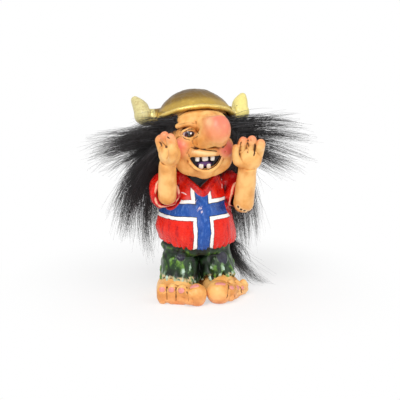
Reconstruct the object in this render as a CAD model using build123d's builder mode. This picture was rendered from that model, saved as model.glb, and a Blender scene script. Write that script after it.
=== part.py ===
"""Painted cast troll figure: cast pieces on dowels, fur tufts on hide, and a horned helmet."""

import os
from math import cos, radians, sin, tan

from build123d import *

os.makedirs("parts", exist_ok=True)

RIGHT, LEFT = -1, 1  # the figure's own right stands at -X, and it faces -Y

# Fits
glue_gap = 0.15  # room for glue round a seated piece
dowel_gap = 0.1  # round a dowel in its hole
hair_gap = 0.4  # fur to whatever it passes

# Feet
ankle_spacing = 20.0
ankle_height = 12.7  # ground to the flat that carries a trouser leg
foot_length = 39.0
foot_width = 26.0
heel_share = 0.27  # of the foot length lies behind the ankle
big_toe_share = {RIGHT: 0.38, LEFT: 0.5}  # of the foot width
small_toes = 3
toe_height = 12.2
toe_slant = {RIGHT: 18.0, LEFT: 24.0}
foot_out = 2.6  # middle of the foot outside its ankle
foot_turn = {RIGHT: 3.0, LEFT: 4.0}

# Trousers
leg_width = 21.4
leg_depth = 25.0
trouser_height = 25.3  # ankle flat to waist
crotch_rise = 11.5  # ankle flat to crotch
hip_width = 40.6
hip_depth = 34.0
leg_tears = 9

# Shirt
shirt_overlap = 8.0  # hem below the waist
cloth = 1.5  # hem thickness
shirt_height = 41.5  # hem to collar
belly_swell = 0.8
belly_drop = 1.6  # belly pushed forward
chest_width = 39.0
chest_depth = 33.0
shoulder_width = 33.0
shoulder_depth = 26.0
collar_width = 23.0
collar_depth = 22.0
neck_pocket = 3.0
v_width = 22.0
v_depth = 8.5
shirt_tears = 22

# Arms
shoulder_reach = 14.5
shoulder_drop = 8.0
arm_bow = 0.2  # of the upper arm's length
sleeve_radius = {RIGHT: 8.2, LEFT: 7.4}
elbow_reach = {RIGHT: 20.4, LEFT: 23.4}
elbow_forward = 15.5
elbow_rise = {RIGHT: 31.6, LEFT: 25.1}  # above the shirt hem
elbow_proud = {RIGHT: 3.8, LEFT: 5.0}  # elbow ball in front of the sleeve end
sleeve_out = {RIGHT: 0.8, LEFT: -1.9}  # sleeve end outside the elbow
sleeve_up = {RIGHT: 0.6, LEFT: 3.9}  # sleeve end above the elbow
cuff_set = 0.8  # open cuff behind the middle of the elbow
forearm_radius = {RIGHT: 5.2, LEFT: 5.8}
wrist_radius = {RIGHT: 4.6, LEFT: 5.0}
forearm_length = {RIGHT: 19.5, LEFT: 21.2}
forearm_lean = 7.0  # wrist in front of the elbow
forearm_splay = {RIGHT: 1.2, LEFT: 0.0}
palm_width = 14.6
palm_thickness = 9.6
finger_radius = 2.6
finger_length = 9.0
finger_sizes = ((0.95, 1.0), (1.0, 1.0), (0.75, 1.15))  # length and radius shares from the thumb outward
finger_curl = {RIGHT: 0.12, LEFT: 0.4}
hand_turn = {RIGHT: 65.0, LEFT: -10.0}

# Head
neck_radius = 8.2
head_rise = 23.5  # neck seat to the middle of the skull
head_back = 2.0
head_tilt = 31.0
skull_radius = 20.5
skull_up = 24.2
skull_down = 22.0
jaw_radius = 15.0
jaw_half_height = 12.0
jaw_forward = 10.0
jaw_drop = 10.0
cheek_radius = 7.2
cheek_reach = 9.8
cheek_forward = 17.5
cheek_drop = 4.5
chin_radius = 6.5
chin_forward = 18.5
nose_radius = 7.1
nose_half_height = 8.5
nose_forward = 33.0
nose_rise = 8.0
nose_lean = 4.2
bridge_radius = 6.2
eye_radius = 3.9
eye_reach = 8.3
eye_forward = 16.8
eye_rise = 3.8
mouth_width = 18.2
mouth_height = 7.2
mouth_drop = 8.4  # skull middle to the straight upper edge
mouth_back = 20.0
lip_radius = 2.4
tooth_depth = 2.2
tooth_height = 2.9
upper_tooth_widths = (2.4, 3.4, 2.4)
lower_tooth_widths = (2.6, 2.4)
tooth_step = 4.3

# Helmet
helmet_radius = 23.2  # of the round bowl
rim_rise = 7.2  # above the middle of the skull
helmet_wall = 1.5
rim_bead = 1.3
boss_reach = 25.0
boss_radius = 4.4
boss_rise = 4.8  # above the rim
boss_back = 1.5
horn_radius = 5.0
horn_height = 12.5
horn_curl = 6.0  # tip outside the boss
horn_back = 2.0  # tip behind the boss

# Fur
hide = 1.2
hide_top = 9.0  # above the middle of the skull
hide_split = -3.0
hide_bottom = -12.0
lock_radius = 3.4
hair_reach = 63.5
hair_back_reach = 37.2
hair_hang = 19.0  # lowest tips above the ground
hang_reach = {RIGHT: 45.0, LEFT: 37.0}
upper_sector = (-42.0, 38.0)
lower_sector = (-12.0, 38.0)
back_sector = (42.0, 138.0)

# Tail
tail_radius = 2.4
tail_height = 25.0
tail_peg = 4.0
tuft_radius = 4.2
tuft_reach = 41.0

# Dowels
neck_dowel = (2.0, 14.0)  # radius, length
waist_dowel = (3.0, 16.0)
ankle_dowel = (2.0, 10.0)
elbow_dowel = (1.2, 6.0)
horn_dowel = (1.3, 7.0)

# Levels and centres that follow from the sizes above
waist = ankle_height + trouser_height
hem = waist - shirt_overlap
collar = hem + shirt_height
neck_seat = collar - neck_pocket
crotch = ankle_height + crotch_rise
head_middle = neck_seat + head_rise
skull = Plane((0, head_back, head_middle)).rotated((-head_tilt, 0, 0))
rim = skull.offset(rim_rise)
rim_up = rim_rise - (skull_up + glue_gap + helmet_wall - helmet_radius)  # above the bowl's middle
rim_radius = (helmet_radius ** 2 - rim_up ** 2) ** 0.5
mouth_top = head_middle - mouth_drop


def egg(place, radius, up, down):
    """Egg on the plane's z axis, widest in the plane, with a small flat at each end."""
    with BuildPart() as form:
        for k in range(-3, 4):
            turn = radians(28 * k)
            with BuildSketch(place.offset((up if k > 0 else down) * sin(turn))):
                Circle(radius * cos(turn))
        loft()
    return form.part


def ball(middle, radius):
    with BuildPart(Plane(middle)) as form:
        Sphere(radius)
    return form.part


def taper(points, radii, side, ends=None):
    """Round run through the points, with a radius for each even step."""
    with BuildLine() as route:
        Spline(*points, tangents=ends)
    line = route.line
    with BuildPart() as form:
        for step, radius in enumerate(radii):
            share = step / (len(radii) - 1)
            ahead = line % share
            with BuildSketch(Plane(line @ share, x_dir=Vector(side).cross(ahead), z_dir=ahead)):
                Circle(radius)
        loft()
    return form.part


def dome_face(radius, skirt):
    """Half outline of a round bowl above the rim with a straight skirt below it, for turning about the y axis."""
    edge = (radius ** 2 - rim_up ** 2) ** 0.5
    with BuildSketch() as form:
        with BuildLine():
            bow = ThreePointArc((edge, 0), (radius * cos(radians(50)), radius * sin(radians(50)) - rim_up),
                                (0, radius - rim_up))
            Polyline(bow @ 1, (0, -skirt), (edge, -skirt), bow @ 0)
        make_face()
    return form.sketch


def handed(form, side):
    """The form as drawn for the left, or its mirror image for the right."""
    if side == LEFT:
        return form
    with BuildPart() as other:
        mirror(form.part, about=Plane.YZ)
    return other


def rod(middle, ahead, size, room=0.0):
    """Dowel, or with room the hole for it."""
    radius, length = size
    with BuildPart(Plane(middle, z_dir=ahead)) as form:
        Cylinder(radius + room, length + 2 * room)
    return form.part


def tears(centre, width, depth, count, size):
    """Ring of wedge cuts that frays an oval hem."""
    with BuildPart() as form:
        for k in range(count):
            turn = 360 * (k + 0.3 * sin(5 * k)) / count
            spot = Vector(centre) + Vector(width / 2 * cos(radians(turn)), depth / 2 * sin(radians(turn)))
            with Locations(Location(spot, (0, 0, turn))):
                Box(4 * cloth, size, size * (1 + 0.4 * sin(3 * k)), rotation=(45, 0, 0))
    return form.part


def finish(form, name):
    form.part.label = name
    export_step(form.part, f"parts/{name}.step")


side_name = {RIGHT: "right", LEFT: "left"}

# Pairs are drawn for the left side and mirrored for the right
ankle = Vector(ankle_spacing / 2, 0, ankle_height)
elbow = {side: Vector(elbow_reach[side], -elbow_forward, hem + elbow_rise[side]) for side in (RIGHT, LEFT)}
sleeve_end = {side: elbow[side] + Vector(sleeve_out[side], elbow_proud[side], sleeve_up[side]) for side in elbow}
elbow_seat = {side: elbow[side] + Vector(0, forearm_radius[side], 0) for side in elbow}
horn_base = rim.from_local_coords(Vector(boss_reach, boss_back, boss_rise))


# Feet: a loaf for heel and instep, and standing eggs for the toes
def foot(side):
    place = Plane((ankle.X, 0, 0)).rotated((0, 0, foot_turn[side]))
    heel = heel_share * foot_length
    front = foot_length - heel
    big = big_toe_share[side] * foot_width
    small = (foot_width - big) / small_toes
    loaf_middle = place.from_local_coords(Vector(foot_out, -heel / 3, ankle_height / 5))
    with BuildPart() as form:
        add(egg(Plane(loaf_middle, z_dir=-place.y_dir), 0.45 * foot_width, 0.68 * front, heel * 4 / 3))
        for k in range(small_toes + 1):
            wide = small if k else big
            step = big / 2 + (k - 0.5) * small if k else 0
            x = foot_out + step - (foot_width - big) / 2
            y = step * tan(radians(toe_slant[side])) - front + big / 2
            tall = toe_height / 2 * (0.94 if k else 1)
            spot = place.from_local_coords(Vector(x, y, toe_height / 2))
            add(egg(Plane(spot), (0.63 if k else 0.56) * wide, tall, tall * 1.3))
        split(bisect_by=Plane.XY, keep=Keep.TOP)
        split(bisect_by=Plane.XY.offset(ankle_height), keep=Keep.BOTTOM)
        add(rod(ankle, (0, 0, 1), ankle_dowel, dowel_gap), mode=Mode.SUBTRACT)
    return handed(form, side)


for side in (RIGHT, LEFT):
    finish(foot(side), f"{side_name[side]}_foot")

with BuildPart() as ankle_dowels:
    add(rod(ankle, (0, 0, 1), ankle_dowel))
    mirror(about=Plane.YZ)
finish(ankle_dowels, "ankle_dowels")

# Trousers: hips that enter the shirt, two legs with frayed hems
with BuildPart() as trousers:
    for level, shrink in ((crotch, 2.0), ((crotch + hem) / 2, 0.6), (hem, 0.0)):
        with BuildSketch(Plane.XY.offset(level)):
            Ellipse(hip_width / 2 - shrink, hip_depth / 2 - shrink)
    loft()
    with BuildSketch(Plane.XY.offset(hem)):
        Ellipse(hip_width / 2, hip_depth / 2)
    extrude(amount=shirt_overlap)
    for rise, shrink in ((0, 0.0), (crotch_rise / 2, 0.3), (crotch_rise + 3, 1.2)):
        with BuildSketch(Plane(ankle).offset(rise)):
            Ellipse(leg_width / 2 - shrink, leg_depth / 2 - shrink)
    loft()
    add(tears(ankle, leg_width, leg_depth, leg_tears, 2.2), mode=Mode.SUBTRACT)
    add(rod(ankle, (0, 0, 1), ankle_dowel, dowel_gap), mode=Mode.SUBTRACT)
    split(bisect_by=Plane.YZ, keep=Keep.TOP)
    mirror(about=Plane.YZ)
    add(rod((0, 0, waist), (0, 0, 1), waist_dowel, dowel_gap), mode=Mode.SUBTRACT)
    add(rod((0, hip_depth / 2, tail_height), (0, 1, 0), (tail_radius, 2 * tail_peg), dowel_gap),
        mode=Mode.SUBTRACT)
finish(trousers, "trousers")

with BuildPart() as waist_pin:
    add(rod((0, 0, waist), (0, 0, 1), waist_dowel))
finish(waist_pin, "waist_dowel")

# Shirt: one cast body with both sleeves, open below for the hips and above for the neck
jaw = Plane((0, head_back - jaw_forward, head_middle - jaw_drop))
chin = Vector(0, head_back - chin_forward, jaw.origin.Z - jaw_half_height + chin_radius)
hem_width = hip_width + 2 * (glue_gap + cloth)
hem_depth = hip_depth + 2 * (glue_gap + cloth)
torso = (
    (0.0, hem_width, hem_depth, 0.3),
    (0.3, hem_width + belly_swell, hem_depth + 2 * belly_drop, 1.0),
    (0.62, chest_width, chest_depth, 0.6),
    (0.86, shoulder_width, shoulder_depth, 0.0),
    (1.0, collar_width, collar_depth, 0.0),
)
shoulder = Vector(shoulder_reach, 0, collar - shoulder_drop)


def wrist(side):
    return elbow[side] + Vector(forearm_splay[side], -forearm_lean, forearm_length[side])


def elbow_room(side):
    """Space that a forearm takes up in its sleeve."""
    with BuildPart() as form:
        add(ball(elbow[side], forearm_radius[side] + glue_gap))
        add(taper((elbow[side], (elbow[side] + wrist(side)) / 2, wrist(side)),
                  [0.97 * forearm_radius[side] + glue_gap] * 3, (1, 0, 0)))
        add(rod(elbow_seat[side], (0, 1, 0), elbow_dowel, dowel_gap))
    return handed(form, side).part


def sleeve(side):
    length = (sleeve_end[side] - shoulder).length
    bend = (shoulder + sleeve_end[side]) / 2 + Vector(1, 1.2, 1).normalized() * length * arm_bow
    with BuildPart() as form:
        add(taper((shoulder, bend, sleeve_end[side]),
                  [share * sleeve_radius[side] for share in (1, 1.05, 0.98, 0.95)], (0, 0, 1)))
        add(ball(sleeve_end[side], sleeve_radius[side]))
        split(bisect_by=Plane((0, elbow[side].Y + cuff_set, 0), z_dir=(0, 1, 0)), keep=Keep.TOP)
    return handed(form, side).part


with BuildPart() as shirt:
    for share, width, depth, forward in torso:
        with BuildSketch(Plane((0, -forward * belly_drop, hem + share * shirt_height))):
            Ellipse(width / 2, depth / 2)
    loft()
    add([sleeve(RIGHT), sleeve(LEFT)])
    with BuildSketch(Plane.XY.offset(hem)):
        Ellipse(hip_width / 2 + glue_gap, hip_depth / 2 + glue_gap)
    extrude(amount=shirt_overlap, mode=Mode.SUBTRACT)
    with Locations((0, head_back / 2, neck_seat)):
        Cylinder(neck_radius + glue_gap, 2 * neck_pocket, align=(Align.CENTER, Align.CENTER, Align.MIN),
                 mode=Mode.SUBTRACT)
    with BuildSketch(Plane.XZ.offset(neck_radius)):
        with BuildLine():
            Polyline((-v_width / 2, collar + 1), (0, collar - v_depth), (v_width / 2, collar + 1), close=True)
        make_face()
    extrude(amount=2 * collar_depth, mode=Mode.SUBTRACT)
    add(egg(jaw, jaw_radius + glue_gap, jaw_half_height + glue_gap, jaw_half_height + glue_gap),
        mode=Mode.SUBTRACT)
    add(ball(chin, chin_radius + glue_gap), mode=Mode.SUBTRACT)
    add([elbow_room(RIGHT), elbow_room(LEFT)], mode=Mode.SUBTRACT)
    add(tears((0, -0.3 * belly_drop, hem), hem_width, hem_depth, shirt_tears, 2.4), mode=Mode.SUBTRACT)
    add(rod((0, 0, waist), (0, 0, 1), waist_dowel, dowel_gap), mode=Mode.SUBTRACT)
    add(rod((0, head_back / 2, neck_seat), (0, 0, 1), neck_dowel, dowel_gap), mode=Mode.SUBTRACT)
finish(shirt, "shirt")

with BuildPart() as neck_pin:
    add(rod((0, head_back / 2, neck_seat), (0, 0, 1), neck_dowel))
finish(neck_pin, "neck_dowel")


# Forearms: elbow ball, forearm, palm, three fingers and a thumb
def forearm(side):
    way = (wrist(side) - elbow[side]).normalized()
    palm = palm_width / 2
    hand = Plane(wrist(side) + way * 0.8 * palm, x_dir=(1, 0, 0), z_dir=way).rotated((0, 0, hand_turn[side]))
    spread = (palm_width - 2 * finger_radius) / (len(finger_sizes) - 1)
    with BuildPart() as form:
        add(ball(elbow[side], forearm_radius[side]))
        add(taper((elbow[side], (elbow[side] + wrist(side)) / 2, wrist(side) + way),
                  (0.97 * forearm_radius[side], 0.95 * forearm_radius[side], wrist_radius[side]), (1, 0, 0)))
        add(egg(Plane(hand.origin, z_dir=hand.y_dir), palm, palm_thickness / 2, palm_thickness / 2))
        for k, (length, girth) in enumerate(finger_sizes):
            x = finger_radius - palm + k * spread
            long = length * finger_length
            wide = girth * finger_radius
            knuckles = [hand.from_local_coords(Vector(x * out, -fore * long, rise * long))
                        for out, fore, rise in ((0.9, 0, 0), (1.05, 0.05, 0.8), (1.05, finger_curl[side], 1.25))]
            add(taper(knuckles, (wide, wide * 1.03, wide * 0.9), hand.x_dir))
            add(ball(knuckles[-1], wide * 0.92))
        thumb = [hand.from_local_coords(Vector(-out * palm, -0.5 * palm_thickness * fore, rise * palm))
                 for out, fore, rise in ((0.2, 0.3, -0.3), (1.0, 0.6, 0.1), (1.25, 0.8, 0.95))]
        add(taper(thumb, (finger_radius, finger_radius, finger_radius * 0.85), hand.y_dir))
        add(ball(thumb[-1], finger_radius * 0.87))
        add(rod(elbow_seat[side], (0, 1, 0), elbow_dowel, dowel_gap), mode=Mode.SUBTRACT)
    return handed(form, side)


for side in (RIGHT, LEFT):
    finish(forearm(side), f"{side_name[side]}_forearm")

with BuildPart() as elbow_dowels:
    for side in (RIGHT, LEFT):
        seat = elbow_seat[side]
        add(rod((side * seat.X, seat.Y, seat.Z), (0, 1, 0), elbow_dowel))
finish(elbow_dowels, "elbow_dowels")

# Head: skull, jaw, cheeks, chin, brow, lip and the long bulbous nose as one casting
face = head_back
nose_tip = Vector(nose_lean, face - nose_forward, head_middle + nose_rise)
eye_middle = Vector(eye_reach, face - eye_forward, head_middle + eye_rise)
brow_height = eye_middle.Z + eye_radius + 2
lip_height = mouth_top + lip_radius


def mouth_opening(depth):
    """Grin with a straight upper edge, run forward from the back of the mouth."""
    with BuildPart() as form:
        with BuildSketch(Plane((0, face - mouth_back, 0), x_dir=(1, 0, 0), z_dir=(0, -1, 0))):
            with BuildLine():
                upper = Line((-mouth_width / 2, mouth_top), (mouth_width / 2, mouth_top))
                ThreePointArc(upper @ 1, (0, mouth_top - mouth_height), upper @ 0)
            make_face()
        extrude(amount=depth)
    return form.part


with BuildPart() as head:
    add(egg(skull, skull_radius, skull_up, skull_down))
    add(egg(jaw, jaw_radius, jaw_half_height, jaw_half_height))
    add(ball(chin, chin_radius))
    for side in (RIGHT, LEFT):
        add(ball((side * cheek_reach, face - cheek_forward, head_middle - cheek_drop), cheek_radius))
    add(taper(((-cheek_reach, face - eye_forward + 1, brow_height - 2),
               (0, face - eye_forward - 2, brow_height),
               (cheek_reach, face - eye_forward + 1, brow_height - 2)), (2.2, 4.0, 2.2), (0, 1, 0)))
    add(taper(((0, face - eye_forward + 3, nose_tip.Z - 2),
               (nose_lean / 3, face - nose_forward / 1.5, nose_tip.Z + 2.5), nose_tip),
              [bridge_radius] * 4, (1, 0, 0)))
    add(egg(Plane(nose_tip), nose_radius, nose_half_height, nose_half_height))
    add(taper(((-mouth_width / 2, face - mouth_back, lip_height), (0, face - mouth_back - 4.5, lip_height),
               (mouth_width / 2, face - mouth_back, lip_height)),
              (0.8 * lip_radius, lip_radius, 0.8 * lip_radius), (0, 1, 0)))
    with Locations((0, head_back / 2, neck_seat)):
        Cylinder(neck_radius, head_rise / 2, align=(Align.CENTER, Align.CENTER, Align.MIN))
    add(mouth_opening(2 * mouth_back), mode=Mode.SUBTRACT)
    for side in (RIGHT, LEFT):
        socket = Plane((side * eye_middle.X, eye_middle.Y, eye_middle.Z), z_dir=(0, -1, 0))
        room = eye_radius + 1.2 * glue_gap
        add(egg(socket, room, room, room), mode=Mode.SUBTRACT)
    add(rod((0, head_back / 2, neck_seat), (0, 0, 1), neck_dowel, dowel_gap), mode=Mode.SUBTRACT)
finish(head, "head")

with BuildPart() as left_eye:
    add(ball(eye_middle, eye_radius))
for side in (RIGHT, LEFT):
    finish(handed(left_eye, side), f"{side_name[side]}_eye")


# Teeth: flat pegs cut to the mouth so that each row sits on its own gum
def tooth_row(widths, level, name):
    with BuildPart() as form:
        for k, width in enumerate(widths):
            x = (k - (len(widths) - 1) / 2) * tooth_step
            with Locations((x, face - mouth_back - tooth_depth / 2, level)):
                Box(width, tooth_depth, 2 * tooth_height)
        add(mouth_opening(tooth_depth), mode=Mode.INTERSECT)
    finish(form, name)


tooth_row(upper_tooth_widths, mouth_top, "upper_teeth")
tooth_row(lower_tooth_widths, mouth_top - mouth_height, "lower_teeth")

# Helmet: coaxial with the skull, rolled rim and a boss for each horn
rim_side = Plane(rim.origin, x_dir=rim.x_dir, z_dir=-rim.y_dir)
helmet_axis = Axis(rim.origin, rim.z_dir)
with BuildPart() as inside:
    with BuildSketch(rim_side):
        add(dome_face(helmet_radius - helmet_wall / 2, 2 * rim_bead))
    revolve(axis=helmet_axis)

with BuildPart() as boss:
    add(taper([rim.from_local_coords(Vector(reach, boss_back, boss_rise))
               for reach in (helmet_radius / 2, (helmet_radius / 2 + boss_reach) / 2, boss_reach)],
              (1.2 * boss_radius, 1.15 * boss_radius, boss_radius), (0, 1, 0)))
    add(inside.part, mode=Mode.SUBTRACT)

with BuildPart() as helmet:
    with BuildSketch(rim_side):
        add(dome_face(helmet_radius, rim_bead / 2))
        add(dome_face(helmet_radius - helmet_wall, rim_bead), mode=Mode.SUBTRACT)
        with Locations((rim_radius + glue_gap, 0)):
            Circle(rim_bead)
    revolve(axis=helmet_axis)
    add(boss.part)
    mirror(boss.part, about=Plane.YZ)
    for side in (RIGHT, LEFT):
        add(rod((side * horn_base.X, horn_base.Y, horn_base.Z), (1, 0, 0), horn_dowel, dowel_gap),
            mode=Mode.SUBTRACT)
finish(helmet, "helmet")

# Horns: out of the boss, up along the helmet, and curled outward at the tip
horn_bend = horn_base + Vector(0.6 * horn_radius, 0, 0.2 * horn_radius)
horn_tip = rim.from_local_coords(Vector(boss_reach + horn_curl, boss_back + horn_back, boss_rise + horn_height))
with BuildPart() as left_horn:
    with Locations(Plane(horn_base, z_dir=(1, 0, 0))):
        Cylinder(boss_radius, horn_radius / 2, align=(Align.CENTER, Align.CENTER, Align.MIN))
    add(ball(horn_bend, horn_radius))
    add(taper((horn_bend, (horn_bend + horn_tip) / 2 - Vector(0.1 * horn_curl, 0, 0), horn_tip),
              (0.93 * horn_radius, 0.88 * horn_radius, 0.7 * horn_radius, 0.32 * horn_radius), (0, 1, 0)))
    split(bisect_by=Plane(horn_base, z_dir=(1, 0, 0)), keep=Keep.TOP)
    add(rod(horn_base, (1, 0, 0), horn_dowel, dowel_gap), mode=Mode.SUBTRACT)
for side in (RIGHT, LEFT):
    finish(handed(left_horn, side), f"{side_name[side]}_horn")

with BuildPart() as horn_dowels:
    add(rod(horn_base, (1, 0, 0), horn_dowel))
    mirror(about=Plane.YZ)
finish(horn_dowels, "horn_dowels")


# Fur: each tuft keeps the slice of hide it grows from
def scalp(room):
    return egg(skull, skull_radius + room, skull_up + room, skull_down + room)


def hide_slice(sector, low, high):
    first, last = (radians(a) for a in sector)
    middle = (first + last) / 2
    far = 2 * skull_radius
    with BuildPart() as form:
        with BuildSketch(skull.offset(low)):
            with BuildLine():
                Polyline((0, 0), *((far * cos(a), far * sin(a)) for a in (first, middle, last)), close=True)
            make_face()
        extrude(amount=high - low)
        add(scalp(glue_gap + hide), mode=Mode.INTERSECT)
    return form.part


def root_at(turn, level):
    """Point in the middle of the hide."""
    r = (skull_radius + glue_gap + hide / 2) * (1 - (level / skull_up) ** 2) ** 0.5
    return skull.from_local_coords(Vector(r * cos(radians(turn)), r * sin(radians(turn)), level))


def tuft(sector, low, high, locks):
    """Hide slice with its locks, each given by root angle, root level, tip and bow."""
    with BuildPart() as form:
        add(hide_slice(sector, low, high))
        for turn, level, tip, bow in locks:
            root = root_at(turn, level)
            add(taper((root, (root + Vector(tip)) / 2 + Vector(bow), Vector(tip)),
                      (0.55 * lock_radius, lock_radius, 0.75 * lock_radius, 0.15 * lock_radius), (0, 1, 0.2)))
        add(scalp(glue_gap), mode=Mode.SUBTRACT)
        add(egg(jaw, jaw_radius + glue_gap, jaw_half_height + glue_gap, jaw_half_height + glue_gap),
            mode=Mode.SUBTRACT)
    return form


upper_locks = (  # root angle, root level, share of the reach, tip y, tip above the skull middle
    (-4, 3.4, 0.86, 2, 4),
    (6, 2.8, 1.0, 6, -5),
    (0, 2.2, 0.92, 3, -15),
    (14, 2.6, 0.74, 12, -20),
)
lower_locks = (  # root angle, root level, share of the reach, tip y, tip above the lowest
    (2, -4, 1.0, 6, 12),
    (12, -5, 0.86, 9, 0),
    (22, -4, 0.72, 16, 6),
)
for side in (RIGHT, LEFT):
    upper = [(turn, hide_split + level, (share * hair_reach, y, head_middle + rise), (0, 0, 4))
             for turn, level, share, y, rise in upper_locks]
    upper_hair = tuft(upper_sector, hide_split + hair_gap / 2, hide_top, upper)
    finish(handed(upper_hair, side), f"{side_name[side]}_upper_hair")
    lower = [(turn, hide_split + level, (share * hang_reach[side], y, hair_hang + rise), (8, 2, 4))
             for turn, level, share, y, rise in lower_locks]
    lower_hair = tuft(lower_sector, hide_bottom, hide_split - hair_gap / 2, lower)
    finish(handed(lower_hair, side), f"{side_name[side]}_lower_hair")

back_locks = [(90 + turn, hide_split, (-reach, hair_back_reach - lock_radius, hair_hang + rise), (0, 8, 6))
              for turn, reach, rise in ((-32, -19, 10), (-16, -10, 2), (0, 0, 6), (16, 10, 0), (32, 19, 9))]
finish(tuft(back_sector, hide_bottom, hide_top, back_locks), "back_hair")

# Tail: pegged into the seat, carried round to the left with its tuft on the ground
tail_root = Vector(0, hip_depth / 2, tail_height)
tail_end = tail_root + Vector(hip_width / 2, 5, 0)
with BuildPart() as tail:
    add(rod(tail_root, (0, 1, 0), (tail_radius, 2 * tail_peg)))
    add(taper((tail_root + Vector(0, 0.9 * tail_peg, 0),
               tail_root + Vector(hip_width / 5, 2.5 * tail_peg, 0), tail_end),
              (0.97 * tail_radius, 0.95 * tail_radius, 0.85 * tail_radius, 0.7 * tail_radius), (0, 0, 1),
              ((0, 1, 0), (1, -0.6, -0.3))))
finish(tail, "tail")

with BuildPart() as tail_tuft:
    add(taper((tail_end + Vector(-3, 1.5, 0.5), tail_end + Vector(8, -5, -6),
               Vector(tuft_reach, 0, tuft_radius / 2)),
              (0.8 * tuft_radius, tuft_radius, 0.7 * tuft_radius, 0.2 * tuft_radius), (0, 0, 1)))
    add(tail.part, mode=Mode.SUBTRACT)
finish(tail_tuft, "tail_tuft")
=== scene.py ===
"""Dressed troll figure: carved and painted castings, glued fur and a pale studio stage."""

import math
from functools import cache

import bmesh
import bpy
import numpy as np
from bpy.props import FloatProperty, FloatVectorProperty, IntProperty, PointerProperty
from mathutils import Matrix, Vector
from mathutils.bvhtree import BVHTree


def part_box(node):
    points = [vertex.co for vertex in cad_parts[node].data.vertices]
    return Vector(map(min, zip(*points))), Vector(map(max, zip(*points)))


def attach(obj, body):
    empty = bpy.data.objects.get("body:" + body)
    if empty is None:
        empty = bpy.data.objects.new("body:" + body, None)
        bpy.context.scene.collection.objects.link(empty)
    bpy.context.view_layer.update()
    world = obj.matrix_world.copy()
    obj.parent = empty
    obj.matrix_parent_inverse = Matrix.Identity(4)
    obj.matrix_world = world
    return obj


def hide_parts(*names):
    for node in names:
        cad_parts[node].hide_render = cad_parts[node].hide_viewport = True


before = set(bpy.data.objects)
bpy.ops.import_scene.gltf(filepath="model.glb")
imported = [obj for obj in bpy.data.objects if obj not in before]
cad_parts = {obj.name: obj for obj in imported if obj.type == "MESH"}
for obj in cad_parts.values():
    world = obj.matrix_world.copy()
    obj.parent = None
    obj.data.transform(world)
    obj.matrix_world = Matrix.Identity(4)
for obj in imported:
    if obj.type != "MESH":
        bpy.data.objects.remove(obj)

bl_info = {
    "name": "Painted Troll Figure",
    "version": (1, 0, 0),
    "blender": (4, 5, 0),
    "location": "View3D > Sidebar > Troll",
    "description": "Carves, paints and furs a cast troll figure around its packed solids",
    "category": "Add Mesh",
}

# Places and sizes below are in millimetres, and picture points in pixels, unless a comment says otherwise.
MM = 0.001
IMAGE = 400  # pixels along each side of the picture
SENSOR = 36  # width of the camera's sensor
RIGHT, LEFT = -1, 1  # the figure faces -Y, so its right is at -X
SIDES = {"right": RIGHT, "left": LEFT}
SKULL_MIDDLE = np.array((0, 2, 92.0))
SKULL_TILT = math.radians(31)
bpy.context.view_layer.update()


# Settings

def srgb(*levels):
    """Linear colour of three 0 to 255 screen levels."""
    shares = [level / 255 for level in levels]
    return tuple(s / 12.92 if s <= 0.04045 else ((s + 0.055) / 1.055) ** 2.4 for s in shares)


def colour(name, description, *levels):
    """Colour setting, from three 0 to 255 screen levels."""
    return FloatVectorProperty(name=name, description=description, subtype="COLOR", size=3, min=0, max=1,
                               default=srgb(*levels))


def amount(name, description, default, low, high):
    """Number setting, in the unit that its description gives."""
    return FloatProperty(name=name, description=description, default=default, min=low, max=high)


def angle(name, description, degrees):
    """Angle setting."""
    return FloatProperty(name=name, description=description, default=math.radians(degrees), subtype="ANGLE",
                         unit="ROTATION")


def length(name, description, metres):
    """Length setting."""
    return FloatProperty(name=name, description=description, default=metres, unit="LENGTH")


def tally(name, description, default, low, high):
    """Setting for a number of hairs."""
    return IntProperty(name=name, description=description, default=default, min=low, max=high)


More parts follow.
